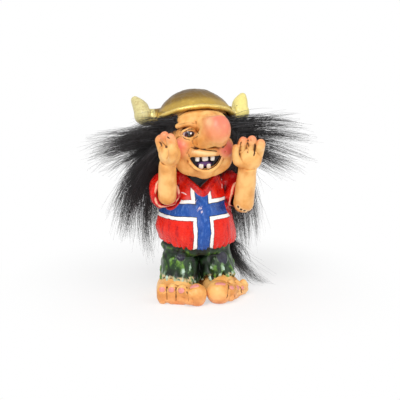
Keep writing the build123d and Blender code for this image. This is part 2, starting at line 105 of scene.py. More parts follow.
class TrollPaint(bpy.types.PropertyGroup):
    """Colours of the paints."""
    skin: colour("Skin", "Main skin paint", 232, 164, 88)
    skin_light: colour("Light skin", "Skin paint on the raised and worn places", 246, 194, 120)
    skin_deep: colour("Deep skin", "Skin paint in the shaded places", 196, 124, 54)
    # painted highlights on the upper lip and nose, and pale paint by the elbow stitches
    pale_skin_and_highlight: colour("Skin glint", "Brushed light on lip, nose and elbow", 254, 226, 170)
    blush: colour("Blush", "Pink on the nose, cheeks and fingertips", 234, 118, 104)
    nail: colour("Nails", "Pink of the toe nails", 224, 142, 140)
    wash: colour("Wash", "Dark brown that is left in the hollows", 66, 34, 14)
    mouth: colour("Mouth", "Inside of the mouth", 26, 12, 24)
    tongue: colour("Tongue", "Tongue", 96, 62, 120)
    red: colour("Shirt red", "Field of the shirt", 226, 34, 16)
    deep_red: colour("Collar red", "Collar band and shaded cloth", 172, 12, 22)
    bright_red: colour("Bright red", "Worn streaks of the shirt", 246, 92, 62)
    fold_red: colour("Fold red", "Wash in the folds of the shirt", 70, 6, 12)
    blue: colour("Cross blue", "Inner cross", 30, 78, 158)
    light_blue: colour("Light blue", "Worn streaks of the cross", 84, 128, 200)
    deep_blue: colour("Deep blue", "Shaded places of the cross", 16, 46, 108)
    white: colour("Cross white", "Border of the cross", 246, 244, 240)
    grey_white: colour("Grey white", "Flecks in the border of the cross", 206, 200, 204)
    # scratches on the cross, and painted highlights on the chest
    scuff: colour("Scuffs", "Scratches and lights on the shirt", 250, 226, 226)
    # also the painted shade in the gap round each arm in its sleeve
    line: colour("Outline", "Thin dark lines and the undershirt", 8, 6, 8)
    cuff: colour("Frayed cloth", "Pale frayed cuffs", 236, 170, 140)
    green: colour("Trouser green", "Main trouser paint", 28, 58, 22)
    deep_green: colour("Deep green", "Shaded places of the trousers", 14, 22, 14)
    moss: colour("Dry brush green", "Green brushed over the raised cloth", 104, 150, 44)
    frost: colour("Frost", "Pale green specks", 196, 222, 206)
    patch: colour("Patches", "Knee patches", 42, 42, 56)
    patch_light: colour("Light patches", "Flecks of the knee patches", 70, 70, 86)
    # also painted shade under the shirt, between the legs and towards the hems
    soot_and_shade: colour("Soot", "Wash in the folds of the trousers", 6, 8, 6)
    hem: colour("Hem", "Frayed hems of the trousers", 214, 190, 140)
    gold: colour("Gold", "Helmet paint", 170, 132, 48)
    # random pale flecks, the boss, and the painted highlight along the rim
    pale_gold_and_highlight: colour("Worn gold", "Rubbed edges of the helmet", 248, 228, 142)
    # painted light on the low band of the dome
    lit_gold_band: colour("Warm gold", "Low band of the helmet", 232, 194, 92)
    # random dark patches, and painted shade on the top of the dome
    gold_dark: colour("Dark gold", "Wash on the helmet", 104, 76, 28)
    rust: colour("Rust", "Wash in the hollows of the helmet", 48, 30, 10)
    horn: colour("Horn", "Cream horn paint", 212, 200, 140)
    horn_yellow: colour("Yellow horn", "Paint of the left horn", 242, 226, 138)
    horn_dark: colour("Horn streaks", "Brown streaks on the horns", 168, 138, 84)
    fur: colour("Fur", "Black fur", 22, 22, 25)
    fur_grey: colour("Grey hairs", "Lightest hairs", 112, 112, 118)
    # painted light shining through the ends of the hairs
    backlit_fur_tip: colour("Fur tips", "Faded tips of the hairs", 60, 56, 54)
    eye_white: colour("Eye white", "White of the eyes", 204, 188, 194)
    eye_vein: colour("Eye veins", "Veins of the eyes", 158, 134, 148)
    eye_rim: colour("Eye rim", "Shade under the lids", 60, 40, 44)
    iris: colour("Iris", "Iris", 58, 36, 60)
    iris_light: colour("Light iris", "Lower half of the iris", 120, 88, 130)
    pupil: colour("Pupil", "Pupil and rim of the iris", 14, 8, 12)
    glint: colour("Glint", "Light in the eyes", 255, 255, 255)
    tooth: colour("Tooth", "Ivory", 252, 248, 240)
    tooth_worn: colour("Worn tooth", "Flecks of the teeth", 240, 230, 208)
    tooth_root: colour("Tooth root", "Brown towards the gum", 170, 136, 104)
    wood: colour("Wood", "Dowels", 196, 158, 108)
    wood_dark: colour("Wood grain", "Grain of the dowels", 150, 108, 64)


class TrollCarving(bpy.types.PropertyGroup):
    """Fineness and depth of the carving."""
    skin_step: amount("Skin step", "Spacing of the carved surface in millimetres", 0.36, 0.2, 1)
    cloth_step: amount("Cloth step", "Spacing of the cloth surfaces in millimetres", 0.42, 0.2, 1)
    groove: amount("Groove depth", "Depth of wrinkles and toe gaps in millimetres", 0.55, 0, 2)
    fold: amount("Fold depth", "Depth of the cloth folds in millimetres", 0.5, 0, 2)


class TrollFur(bpy.types.PropertyGroup):
    """Amount and size of the fur."""
    side_hairs: tally("Side hairs", "Hairs in each upper tuft", 1500, 100, 4400)
    lock_hairs: tally("Lock hairs", "Hairs in each hanging lock", 440, 20, 460)
    back_hairs: tally("Back hairs", "Hairs in the back tuft", 3400, 100, 4400)
    tail_hairs: tally("Tail hairs", "Hairs in the tail tuft", 900, 100, 4400)
    short_hairs: tally("Short hairs", "Hairs that lie over each slice of hide", 420, 10, 1000)
    thickness: amount("Hair radius", "Radius of a hair at its root in millimetres", 0.1, 0.02, 0.5)
    seed: IntProperty(name="Seed", description="Start of the random draws", default=7)


class TrollStage(bpy.types.PropertyGroup):
    """Camera and light."""
    azimuth: angle("Azimuth", "Camera round the figure", -14)
    elevation: angle("Elevation", "Camera above the horizon", 14)
    distance: length("Distance", "Camera to the aim point", 0.525)
    lens: FloatProperty(name="Lens", description="Focal length in millimetres", default=80.4, unit="CAMERA")
    aim_side: length("Aim sideways", "Aim point right of the axis", 0.00196)
    aim_up: length("Aim height", "Aim point up the picture", 0.0526)
    key: amount("Key light", "Power of the main lamp in watts", 2.6, 0, 20)
    fill: amount("Fill light", "Power of the second lamp in watts", 1.5, 0, 20)
    front: amount("Front light", "Power of the lamp by the camera in watts", 1.35, 0, 20)
    sky: amount("Sky", "Strength of the light from all round", 0.62, 0, 5)


def settings(kind):
    """One group of settings."""
    return getattr(bpy.context.scene, f"troll_{kind}")


# Camera geometry

def outward(azimuth, elevation):
    """Direction from the figure, by an angle round it from its front and one above the horizon."""
    flat = math.cos(elevation)
    return Vector((math.sin(azimuth) * flat, -math.cos(azimuth) * flat, math.sin(elevation)))


def camera_axes():
    """Where the camera stands in metres, and its right, up and back directions."""
    stage = settings("stage")
    back = outward(stage.azimuth, stage.elevation)
    right = Vector((math.cos(stage.azimuth), math.sin(stage.azimuth), 0))
    up = back.cross(right)
    aim = right * stage.aim_side + up * stage.aim_up
    return aim + back * stage.distance, right, up, back


def sight(px, py):
    """Eye point and direction of the sight line through a picture point."""
    eye, right, up, back = camera_axes()
    scale = SENSOR / settings("stage").lens / IMAGE
    return eye / MM, (right * (px - IMAGE / 2) * scale - up * (py - IMAGE / 2) * scale - back).normalized()


def at_depth(px, py, y):
    """Point that shows at a picture point and lies at that depth."""
    eye, way = sight(px, py)
    return np.array(eye + way * ((y - eye.y) / way.y))


# Clay

def node_form(*nodes):
    """CAD surfaces joined in one bmesh, in millimetres."""
    bm = bmesh.new()
    for node in nodes:
        bm.from_mesh(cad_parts[node].data)
    bmesh.ops.remove_doubles(bm, verts=bm.verts, dist=1e-6)
    bmesh.ops.scale(bm, verts=bm.verts, vec=(1 / MM,) * 3)
    return bm


def pellet(bm, middle, radii):
    """Adds a ball, or an egg with three radii."""
    radii = (radii,) * 3 if isinstance(radii, (int, float)) else radii
    place = Matrix.Translation(middle) @ Matrix.Diagonal((*radii, 1))
    bmesh.ops.create_icosphere(bm, subdivisions=3, radius=1, matrix=place)


def smooth_line(knots, step):
    """Points about a step apart on a smooth line through the knots, with any further columns."""
    k = np.asarray(knots, float)
    k = np.vstack([2 * k[0] - k[1], k, 2 * k[-1] - k[-2]])
    runs = []
    for a, b, c, d in zip(k, k[1:], k[2:], k[3:]):
        count = max(2, int(np.linalg.norm((c - b)[:3]) / step) + 1)
        t = np.linspace(0, 1, count, endpoint=False)[:, None]
        runs.append(0.5 * (2 * b + (c - a) * t + (2 * a - 5 * b + 4 * c - d) * t ** 2
                           + (3 * b - a - 3 * c + d) * t ** 3))
    return np.vstack([*runs, k[-2][None]])


def roll(bm, *knots):
    """Adds a round roll of clay through knots of x, y, z and radius."""
    slim = min(k[3] for k in knots)
    for x, y, z, r in smooth_line(knots, 0.6 * slim):
        pellet(bm, (x, y, z), float(r))


def ripple(points, size, seed, waves=14):
    """Smooth random field of about that size, mostly between -1 and 1."""
    draw = np.random.default_rng(seed)
    total = np.zeros(len(points))
    for _ in range(waves):
        way = draw.normal(size=3)
        way *= 2 * math.pi / (size * draw.uniform(0.8, 1.6) * np.linalg.norm(way))
        total += np.sin(points @ way + draw.uniform(0, 2 * math.pi))
    return total / math.sqrt(waves)


def bell(distance, width):
    """Smooth bump that is 1 at no distance and fades within about twice the width."""
    return np.exp(-(distance / width) ** 2)


def ramp(value, start, end):
    """Share of the way from the start to the end, between 0 and 1."""
    return np.clip((value - start) / (end - start), 0, 1)


class Casting:
    """One cast piece while it is carved: points, normals and named paint marks, in millimetres."""

    def __init__(self, name, form, step, relax=3):
        rough = bpy.data.meshes.new(name)
        form.to_mesh(rough)
        form.free()
        work = bpy.data.objects.new(name, rough)
        bpy.context.scene.collection.objects.link(work)
        skin = work.modifiers.new("skin", "REMESH")
        skin.mode = "VOXEL"
        skin.voxel_size = step
        self.mesh = bpy.data.meshes.new_from_object(work.evaluated_get(bpy.context.evaluated_depsgraph_get()))
        bpy.data.objects.remove(work)
        bpy.data.meshes.remove(rough)
        bm = bmesh.new()
        bm.from_mesh(self.mesh)
        for _ in range(relax):
            bmesh.ops.smooth_vert(bm, verts=bm.verts, factor=0.5,
                                  use_axis_x=True, use_axis_y=True, use_axis_z=True)
        bm.to_mesh(self.mesh)
        bm.free()
        self.name = name
        self.marks = {}
        self.edges = np.empty(2 * len(self.mesh.edges), np.int32)
        self.mesh.edges.foreach_get("vertices", self.edges)
        self.edges = self.edges.reshape(-1, 2)
        self.co = np.empty(3 * len(self.mesh.vertices), np.float32)
        self.mesh.vertices.foreach_get("co", self.co)
        self.co = self.co.reshape(-1, 3).astype(float)
        self.settle()
        self.survey()

    def survey(self):
        """Looks up the surface afresh for the picture points that follow."""
        bm = bmesh.new()
        bm.from_mesh(self.mesh)
        self.tree = BVHTree.FromBMesh(bm)
        bm.free()

    def settle(self):
        """Writes the moved points back and takes the new normals."""
        self.mesh.vertices.foreach_set("co", self.co.astype(np.float32).ravel())
        self.mesh.update()
        self.no = np.empty(self.co.size, np.float32)
        self.mesh.vertex_normals.foreach_get("vector", self.no)
        self.no = self.no.reshape(-1, 3).astype(float)

    def swell(self, height):
        """Moves each point out along its normal by its own height."""
        self.co += self.no * height[:, None]

    def blur(self, values, times):
        """Values averaged over the neighbours that many times."""
        a, b = self.edges.T
        n = len(self.co)
        count = np.maximum(np.bincount(a, minlength=n) + np.bincount(b, minlength=n), 1)
        for _ in range(times):
            values = (np.bincount(a, values[b], n) + np.bincount(b, values[a], n)) / count
        return values

    def hollows(self, times):
        """How far each point lies below its surroundings."""
        level = np.stack([self.blur(self.co[:, k], times) for k in range(3)], axis=1)
        return ((level - self.co) * self.no).sum(1)

    def smooth(self, chosen, times):
        """Evens out the chosen points."""
        pick = np.flatnonzero(chosen)
        for _ in range(times):
            level = np.stack([self.blur(self.co[:, k], 1) for k in range(3)], axis=1)
            self.co[pick] = 0.5 * (self.co[pick] + level[pick])
        self.settle()

    def seen(self, px, py):
        """Point of the surface that shows at a picture point."""
        hit = self.tree.ray_cast(*sight(px, py))[0]
        if hit is None:
            raise RuntimeError(f"{self.name} does not show at {px}, {py}")
        return tuple(hit)

    def traced(self, points):
        """Points of the surface under a line on the picture, as far as the piece shows there."""
        hits = (self.tree.ray_cast(*sight(px, py))[0] for px, py in points)
        return [tuple(hit) for hit in hits if hit is not None]

    def front(self, x, z, limit):
        """Foremost point of the surface at that place, behind the limit, or None where it has no point."""
        off = np.hypot(self.co[:, 0] - x, self.co[:, 2] - z)
        near = np.flatnonzero((off < 0.7) & (self.co[:, 1] > limit))
        return (x, float(self.co[near, 1].min()), z) if len(near) else None

    def reach(self, knots, within):
        """Points within reach of a smooth line, and how far each is from it."""
        line = np.array(knots, float)[:, :3]
        if len(knots) > 1:
            line = smooth_line(knots, max(0.4 * within, 0.3))[:, :3]
        pick = np.flatnonzero(((self.co > line.min(0) - within) & (self.co < line.max(0) + within)).all(1))
        spots = self.co[pick]
        best = np.full(len(pick), np.inf)
        ends = line[1:] if len(line) > 1 else line
        for a, b in zip(line, ends):
            way = b - a
            t = np.clip((spots - a) @ way / max(way @ way, 1e-9), 0, 1)
            best = np.minimum(best, np.linalg.norm(spots - a - t[:, None] * way, axis=1))
        return pick, best

    def press(self, knots, width, depth, mark=None, tone=1.0):
        """Presses a groove along a line, or raises a ridge if the depth is negative, and may darken it."""
        if not len(knots):
            return
        pick, off = self.reach(knots, 3 * width)
        self.co[pick] -= self.no[pick] * (depth * bell(off, width))[:, None]
        if mark:
            self.stain(mark, knots, width * 1.1, tone)

    def stain(self, mark, knots, width, tone=1.0):
        """Adds a soft brush stroke to a paint mark."""
        field = self.marks.setdefault(mark, np.zeros(len(self.co)))
        if not len(knots):
            return
        pick, off = self.reach(knots, 3 * width)
        field[pick] = np.maximum(field[pick], tone * bell(off, width))

    def edge(self, mark, knots, width, margin=5.0):
        """Keeps in a paint mark how far each point lies inside a line of that width."""
        field = self.marks.setdefault(mark, np.full(len(self.co), -margin))
        pick, off = self.reach(knots, width + margin)
        field[pick] = np.maximum(field[pick], width - off)

    def place(self, material, slot, *nodes):
        """Turns the carving into the finished piece that stands for its CAD nodes."""
        self.settle()
        for mark, field in self.marks.items():
            layer = self.mesh.attributes.new(mark, "FLOAT", "POINT")
            layer.data.foreach_set("value", field.astype(np.float32))
        self.mesh.transform(Matrix.Scale(MM, 4))
        piece(self.name, self.mesh, material, slot, *nodes)


def piece(name, mesh, material, slot, *nodes):
    """Links a finished mesh as a piece of the figure."""
    mesh.materials.clear()
    mesh.materials.append(material)
    mesh.polygons.foreach_set("use_smooth", [True] * len(mesh.polygons))
    made = bpy.data.objects.new(name, mesh)
    bpy.context.scene.collection.objects.link(made)
    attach(made, "root")
    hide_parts(*nodes)


# Paint

class Paint:
    """Node material for a painted surface, whose colours are sockets, tuples or names of settings."""

    def __init__(self, name, coat=0.0, metallic=0.0, shine=0.5):
        self.material = bpy.data.materials.new(name)
        self.material.use_nodes = True
        self.tree = self.material.node_tree
        self.shader = self.tree.nodes["Principled BSDF"]
        self.shader.inputs["Coat Weight"].default_value = coat
        self.shader.inputs["Coat Roughness"].default_value = 0.12
        self.shader.inputs["Metallic"].default_value = metallic
        self.shader.inputs["Specular IOR Level"].default_value = shine
        self.spot = self.node("ShaderNodeTexCoord").outputs["Object"]

    def node(self, kind, inputs=None, **choices):
        """Adds a node, with its choices set and its inputs fed."""
        made = self.tree.nodes.new(kind)
        for key, value in choices.items():
            setattr(made, key, value)
        for key, value in (inputs or {}).items():
            self.feed(made.inputs[key], value)
        return made

    def feed(self, socket, value):
        """Links a socket to another one, or sets its value."""
        if isinstance(value, str):
            value = getattr(settings("paint"), value)
        if isinstance(value, bpy.types.NodeSocket):
            self.tree.links.new(value, socket)
        elif socket.type == "RGBA" and len(value) == 3:
            socket.default_value = (*value, 1)
        else:
            socket.default_value = value

    def mark(self, name):
        """Value of a paint mark on the mesh."""
        return self.node("ShaderNodeAttribute", attribute_name=name, attribute_type="GEOMETRY").outputs["Fac"]

    def grain(self, size, detail=3.0, stretch=None, rough=0.5):
        """Noise with features of that size in millimetres."""
        where = self.spot
        if stretch:
            where = self.node("ShaderNodeMapping", {"Vector": where, "Scale": stretch}).outputs[0]
        return self.node("ShaderNodeTexNoise", {"Vector": where, "Scale": 1 / (size * MM), "Detail": detail,
                                                "Roughness": rough}).outputs["Fac"]

    def step(self, value, low, high, first=0.0, last=1.0):
        """Soft step of a value between two levels, from the first amount to the last."""
        made = self.node("ShaderNodeMapRange", {"Value": value, "From Min": low, "From Max": high,
                                                "To Min": first, "To Max": last},
                         interpolation_type="SMOOTHSTEP")
        return made.outputs["Result"]

    def sums(self, kind, a, b=0.0):
        """Result of a sum of that kind."""
        return self.node("ShaderNodeMath", {0: a, 1: b}, operation=kind).outputs[0]

    def times(self, a, b):
        """Product of two values."""
        return self.sums("MULTIPLY", a, b)

    def vector(self, kind, *inputs):
        """Node for a sum with vectors."""
        return self.node("ShaderNodeVectorMath", dict(enumerate(inputs)), operation=kind)

    def parts(self, vector):
        """The three parts of a vector."""
        return self.node("ShaderNodeSeparateXYZ", {0: vector}).outputs

    def dusk(self, fleck, uneven):
        """Depth below the surroundings, made uneven by flecks."""
        return self.sums("ADD", self.mark("hollow"), self.times(self.sums("SUBTRACT", fleck, 0.5), uneven))

    def over(self, below, above, share):
        """One colour laid over another."""
        made = self.node("ShaderNodeMix", data_type="RGBA", blend_type="MIX")
        self.feed(made.inputs[0], share)
        self.feed(made.inputs[6], below)
        self.feed(made.inputs[7], above)
        return made.outputs[2]

    def layers(self, base, *coats):
        """Coats of a colour and its share, laid over the base in order."""
        for coat, share in coats:
            base = self.over(base, coat, share)
        return base

    def finish(self, base, roughness, relief, depth):
        """Connects colour, gloss and fine relief, whose depth is in millimetres."""
        self.feed(self.shader.inputs["Base Color"], base)
        self.feed(self.shader.inputs["Roughness"], roughness)
        bump = self.node("ShaderNodeBump", {"Height": relief, "Distance": depth * MM, "Strength": 1.0})
        self.feed(self.shader.inputs["Normal"], bump.outputs["Normal"])
        return self.material


@cache
def skin_paint():
    """Tan skin with worn lights, painted highlights on the lip and nose, brown wash, dark lines with painted
    shadows among them, blush, nails and the open mouth.
    """
    p = Paint("painted_skin", coat=0.15, shine=0.3)
    mottle = p.grain(9, 4)
    fleck = p.grain(1.6, 5, rough=0.7)
    dusk = p.dusk(fleck, 0.22)
    ink = p.times(p.mark("ink"), p.step(fleck, 0.25, 0.6, 0.6, 1.1))
    base = p.layers(
        "skin",
        ("skin_light", p.step(mottle, 0.42, 0.66)),
        ("skin_deep", p.step(mottle, 0.5, 0.32, last=0.55)),
        ("skin_light", p.step(p.mark("hollow"), -0.1, -0.5, last=0.6)),
        ("blush", p.times(p.mark("blush"), p.step(fleck, 0.2, 0.6, 0.75))),
        # painted highlights on the upper lip and nose, and pale paint by the elbow stitches
        ("pale_skin_and_highlight", p.times(p.mark("light"), 0.8)),
        ("skin_deep", p.step(dusk, 0.02, 0.16, last=0.85)),
        ("wash", p.step(dusk, 0.1, 0.32, last=0.95)),
        # dark lines, among them painted shadow under the nose and brow
        ("wash", p.step(ink, 0.3, 0.8)),
        ("nail", p.step(p.mark("nail"), 0.02, 0.25, last=0.9)),
        ("mouth", p.step(p.mark("mouth"), 0.02, 0.22)),
        ("tongue", p.step(p.mark("tongue"), 0.3, 0.7)))
    gloss = p.step(fleck, 0.3, 0.75, 0.3, 0.46)
    return p.finish(base, gloss, p.sums("ADD", fleck, p.grain(0.5, 2)), 0.05)


CROSS_BARS = ((0, -1.0, 3.4), (2, 52.8, 3.2))  # axis across each bar of the flag, its middle and half width


@cache
def shirt_paint():
    """Red cloth with a white-edged blue cross, dark lines, painted shade in the sleeve gaps, scratches and
    painted highlights on the chest, and pale frayed cuffs.
    """
    p = Paint("painted_shirt", coat=0.15, shine=0.25)
    wobble = p.node("ShaderNodeTexNoise", {"Vector": p.spot, "Scale": 260.0, "Detail": 2.0}).outputs["Color"]
    drift = p.vector("ADD", wobble, (-0.5,) * 3).outputs[0]
    drawn = p.parts(p.vector("MULTIPLY_ADD", drift, (1.1 * MM,) * 3, p.spot).outputs[0])
    inside = []
    for axis, middle, half in CROSS_BARS:
        off = p.sums("ABSOLUTE", p.sums("SUBTRACT", drawn[axis], middle * MM))
        inside.append(p.sums("SUBTRACT", off, half * MM))
    cross = p.times(p.sums("MINIMUM", *inside), 1 / MM)
    streak = p.grain(5, 4, (3, 3, 0.6), 0.65)
    fleck = p.grain(1.3, 5, rough=0.7)
    field = p.layers(
        "red",
        ("deep_red", p.step(streak, 0.5, 0.3)),
        ("bright_red", p.step(streak, 0.58, 0.74, last=0.5)),
        ("deep_red", p.step(p.mark("shade"), 0.1, 0.9)))
    inner = p.layers(
        "blue",
        ("light_blue", p.step(p.grain(3, 4, (2.4, 2.4, 0.8)), 0.5, 0.78)),
        ("deep_blue", p.step(p.grain(7, 3), 0.46, 0.3, last=0.7)))
    border = p.over("white", "grey_white", p.step(p.grain(1.6, 4), 0.56, 0.78))
    flag = p.layers(
        field,
        ("line", p.step(cross, 2.75, 2.35, last=0.85)),
        (border, p.step(cross, 2.35, 2.15)),
        ("line", p.step(cross, 0.5, 0.3)),
        (inner, p.step(cross, 0.12, -0.08)))
    band = p.over("deep_red", "red", p.step(fleck, 0.35, 0.7))
    worn = p.times(p.mark("cuff"), p.step(fleck, 0.3, 0.55, 0.8, 1.1))
    scuff = p.times(p.mark("scuff"), p.step(fleck, 0.3, 0.6, 0.7, 1.1))
    base = p.layers(
        field,
        (flag, p.step(p.mark("flag"), 0.0, 0.35)),
        (band, p.step(p.mark("collar"), 0.0, 0.3)),
        ("fold_red", p.step(p.dusk(fleck, 0.14), 0.1, 0.42, last=0.85)),
        ("cuff", p.step(worn, 0.35, 0.75)),
        # painted shade round the arms in the sleeves, and the dark undershirt
        ("line", p.step(p.mark("dark"), 0.0, 0.3)),
        # scratches on the cross and painted highlights on the chest
        ("scuff", p.step(scuff, 0.25, 0.8)))
    relief = p.sums("ADD", p.times(streak, 3.0), p.times(fleck, 0.4))
    return p.finish(base, p.step(fleck, 0.3, 0.7, 0.2, 0.34), relief, 0.04)


@cache
def trouser_paint():
    """Dark green cloth, dry-brushed on its raised folds, with two patches and frayed hems."""
    p = Paint("painted_trousers", coat=0.3, shine=0.3)
    cloud = p.grain(6, 4, rough=0.6)
    fleck = p.grain(1.5, 5, (1.5, 1.5, 0.8), 0.7)
    raised = p.sums("SUBTRACT", p.times(p.sums("SUBTRACT", fleck, 0.5), 0.6), p.mark("hollow"))
    cloth = p.over("patch", "patch_light", p.step(fleck, 0.45, 0.75))
    base = p.layers(
        "green",
        ("deep_green", p.step(cloud, 0.52, 0.34)),
        ("moss", p.times(p.step(raised, 0.0, 0.3), p.step(cloud, 0.36, 0.6, 0.35))),
        ("frost", p.times(p.step(raised, 0.06, 0.26), p.mark("frost"))),
        (cloth, p.step(p.mark("patch"), 0.0, 1.2)),
        # darker in the folds, with painted shade under the shirt, between the legs and towards the hems
        ("soot_and_shade", p.step(p.mark("hollow"), 0.05, 0.32, last=0.9)),
        ("hem", p.times(p.step(p.mark("hem"), 0.2, 0.8), p.step(p.grain(2.4, 3), 0.42, 0.52))))
    return p.finish(base, p.step(fleck, 0.3, 0.7, 0.3, 0.5), p.sums("ADD", fleck, cloud), 0.18)


@cache
def gold_paint():
    """Aged gold with a painted highlight along the rim, painted shade on the top of the dome and painted
    light on its low band, and brown wash.
    """
    p = Paint("painted_gold", coat=0.25, metallic=0.55)
    cloud = p.grain(8, 4, rough=0.6)
    fleck = p.grain(1.2, 5, rough=0.7)
    rub = p.times(p.mark("rub"), p.step(fleck, 0.25, 0.6, 0.6, 1.1))
    boss = p.over("horn", "pale_gold_and_highlight", p.step(fleck, 0.4, 0.65))
    base = p.layers(
        "gold",
        ("gold_dark", p.step(cloud, 0.56, 0.34, last=0.45)),
        ("pale_gold_and_highlight", p.step(fleck, 0.52, 0.72, last=0.3)),
        # painted highlight along the rim
        ("pale_gold_and_highlight", p.step(rub, 0.25, 0.9)),
        # painted light on the low band of the dome, and painted shade on its top
        ("lit_gold_band", p.step(p.mark("crown"), 0.35, 0.0, last=0.5)),
        ("gold_dark", p.times(p.mark("crown"), p.step(cloud, 0.3, 0.6, 0.6, 0.95))),
        (boss, p.step(p.mark("boss"), 0.1, 0.6)),
        ("rust", p.step(p.mark("hollow"), 0.06, 0.3, last=0.9)))
    return p.finish(base, p.step(fleck, 0.25, 0.75, 0.28, 0.46), p.sums("ADD", fleck, cloud), 0.06)


@cache
def horn_paint():
    """Cream horn with brown streaks along its length, yellower on the figure's left."""
    p = Paint("painted_horn", coat=0.25)
    streak = p.grain(2.2, 4, (1.6, 1.6, 0.35), 0.65)
    fleck = p.grain(1.1, 4, rough=0.7)
    across = p.parts(p.spot)[0]
    grime = p.times(p.step(streak, 0.54, 0.36), p.step(across, 10 * MM, -10 * MM, 0.12, 0.5))
    base = p.layers(
        "horn",
        ("horn_yellow", p.step(across, -10 * MM, 10 * MM)),
        ("horn_dark", grime),
        ("horn_dark", p.step(p.mark("hollow"), 0.1, 0.5, last=0.6)),
        ("wash", p.step(p.mark("ink"), 0.4, 0.8)))
    return p.finish(base, p.step(fleck, 0.3, 0.7, 0.36, 0.5), p.sums("ADD", streak, fleck), 0.03)


@cache
def fur_paint():
    """Black fur with some grey hairs, and tips painted paler for the light that shines through them."""
    p = Paint("black_fur")
    base = p.layers(
        "fur",
        ("fur_grey", p.step(p.mark("shade"), 0.4, 0.9)),
        # painted light shining through the ends of the hairs
        ("backlit_fur_tip", p.times(p.mark("tip"), 0.6)))
    p.feed(p.shader.inputs["Base Color"], base)
    p.feed(p.shader.inputs["Roughness"], p.step(p.mark("shade"), 0.0, 1.0, 0.34, 0.5))
    return p.material


@cache
def eye_paint(name):
    """Painted eye that looks straight ahead."""
    p = Paint(f"painted_eye_{name}", coat=1.0)
    low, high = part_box(f"{name}_eye")
    middle = (low + high) / 2
    away = p.parts(p.vector("SUBTRACT", p.spot, (middle.x, 0, middle.z - 0.4 * MM)).outputs[0])
    flat = p.node("ShaderNodeCombineXYZ", {0: away[0], 2: away[2]}).outputs[0]
    off = p.times(p.vector("LENGTH", flat).outputs["Value"], 1 / MM)
    glint = p.vector("DISTANCE", flat, (0.6 * MM, 0, 0.9 * MM)).outputs["Value"]
    vein = p.grain(0.8, 4)
    iris = p.over("iris", "iris_light", p.step(away[2], 0.0, -1.4 * MM))
    base = p.layers(
        "eye_white",
        ("eye_vein", p.step(vein, 0.45, 0.7)),
        ("eye_rim", p.step(off, 3.2, 3.9)),
        (iris, p.step(off, 2.6, 2.4)),
        ("pupil", p.step(off, 1.9, 1.6)),
        ("pupil", p.times(p.step(off, 2.2, 2.4), p.step(off, 2.75, 2.55))),
        ("glint", p.step(glint, 0.62 * MM, 0.44 * MM)))
    return p.finish(base, p.step(vein, 0.3, 0.7, 0.1, 0.2), vein, 0.01)


@cache
def tooth_paint():
    """Ivory that browns towards the gum."""
    p = Paint("ivory", coat=0.5)
    fleck = p.grain(0.9, 4)
    base = p.layers(
        "tooth",
        ("tooth_worn", p.step(fleck, 0.5, 0.75)),
        ("tooth_root", p.times(p.mark("root"), 0.35)))
    return p.finish(base, p.step(fleck, 0.3, 0.7, 0.18, 0.3), fleck, 0.03)


@cache
def dowel_wood():
    """Plain turned wood."""
    p = Paint("dowel_wood")
    ring = p.grain(0.7, 4, (1, 1, 0.12))
    base = p.over("wood", "wood_dark", p.step(ring, 0.4, 0.65))
    return p.finish(base, p.step(ring, 0.3, 0.7, 0.5, 0.7), ring, 0.03)


# Feet

TOE_GAPS = {  # picture points down each gap between two toes
    "right": (((167, 287), (166.5, 293), (167, 299.5)), ((176, 287), (176, 294), (176, 300.5)),
              ((187, 287), (187, 294), (188, 301.5))),
    "left": (((228, 284), (228.5, 291), (227, 298)), ((234.6, 285), (236, 291), (235, 297)),
             ((239.8, 286), (241.4, 291), (241, 295.5))),
}
TOE_NAILS = {  # picture point, half width, half height
    "right": ((161.8, 289.6, 1.9, 1.6), (171.2, 289.8, 1.9, 1.6), (181.2, 290.6, 2.0, 1.7),
              (193.6, 286, 3.3, 1.4)),
    "left": ((220.5, 283.4, 3.2, 1.5), (232, 287.4, 1.6, 1.5), (237.8, 287.4, 1.5, 1.5),
             (243, 287.6, 1.4, 1.4)),
}
NAIL_RISE, NAIL_MOAT = 0.25, 0.3  # height of a nail and depth of the line round it
TOE_PITCH = {"right": 5.3, "left": 4.1}
TOE_PLACES = (0.6, 1.5, 2.5, 3.3)  # pitches in from the outer side
TOE_FILL = 3.2  # radius of the clay between the toes
TOE_SETBACK = 3.7  # from the tips of the toes to the middle of that clay
OUTER_TOES_DROP = 0.24  # share of its height that the left foot loses at its outer toes


def fill_toes(form, name):
    """Clay between the small toes, just behind their tips, so that they read as one cast block."""
    spots = np.array([v.co[:] for v in form.verts])
    outer = np.abs(spots[:, 0]).max()
    knots = []
    for place in TOE_PLACES:
        x = SIDES[name] * (outer - place * TOE_PITCH[name])
        toe = (np.abs(spots[:, 0] - x) < TOE_FILL / 2) & (spots[:, 2] > 2) & (spots[:, 2] < 9)
        knots.append((x, spots[toe, 1].min() + TOE_SETBACK))
    for height in (3.5, 6.8):
        roll(form, *((x, y, height, TOE_FILL) for x, y in knots))


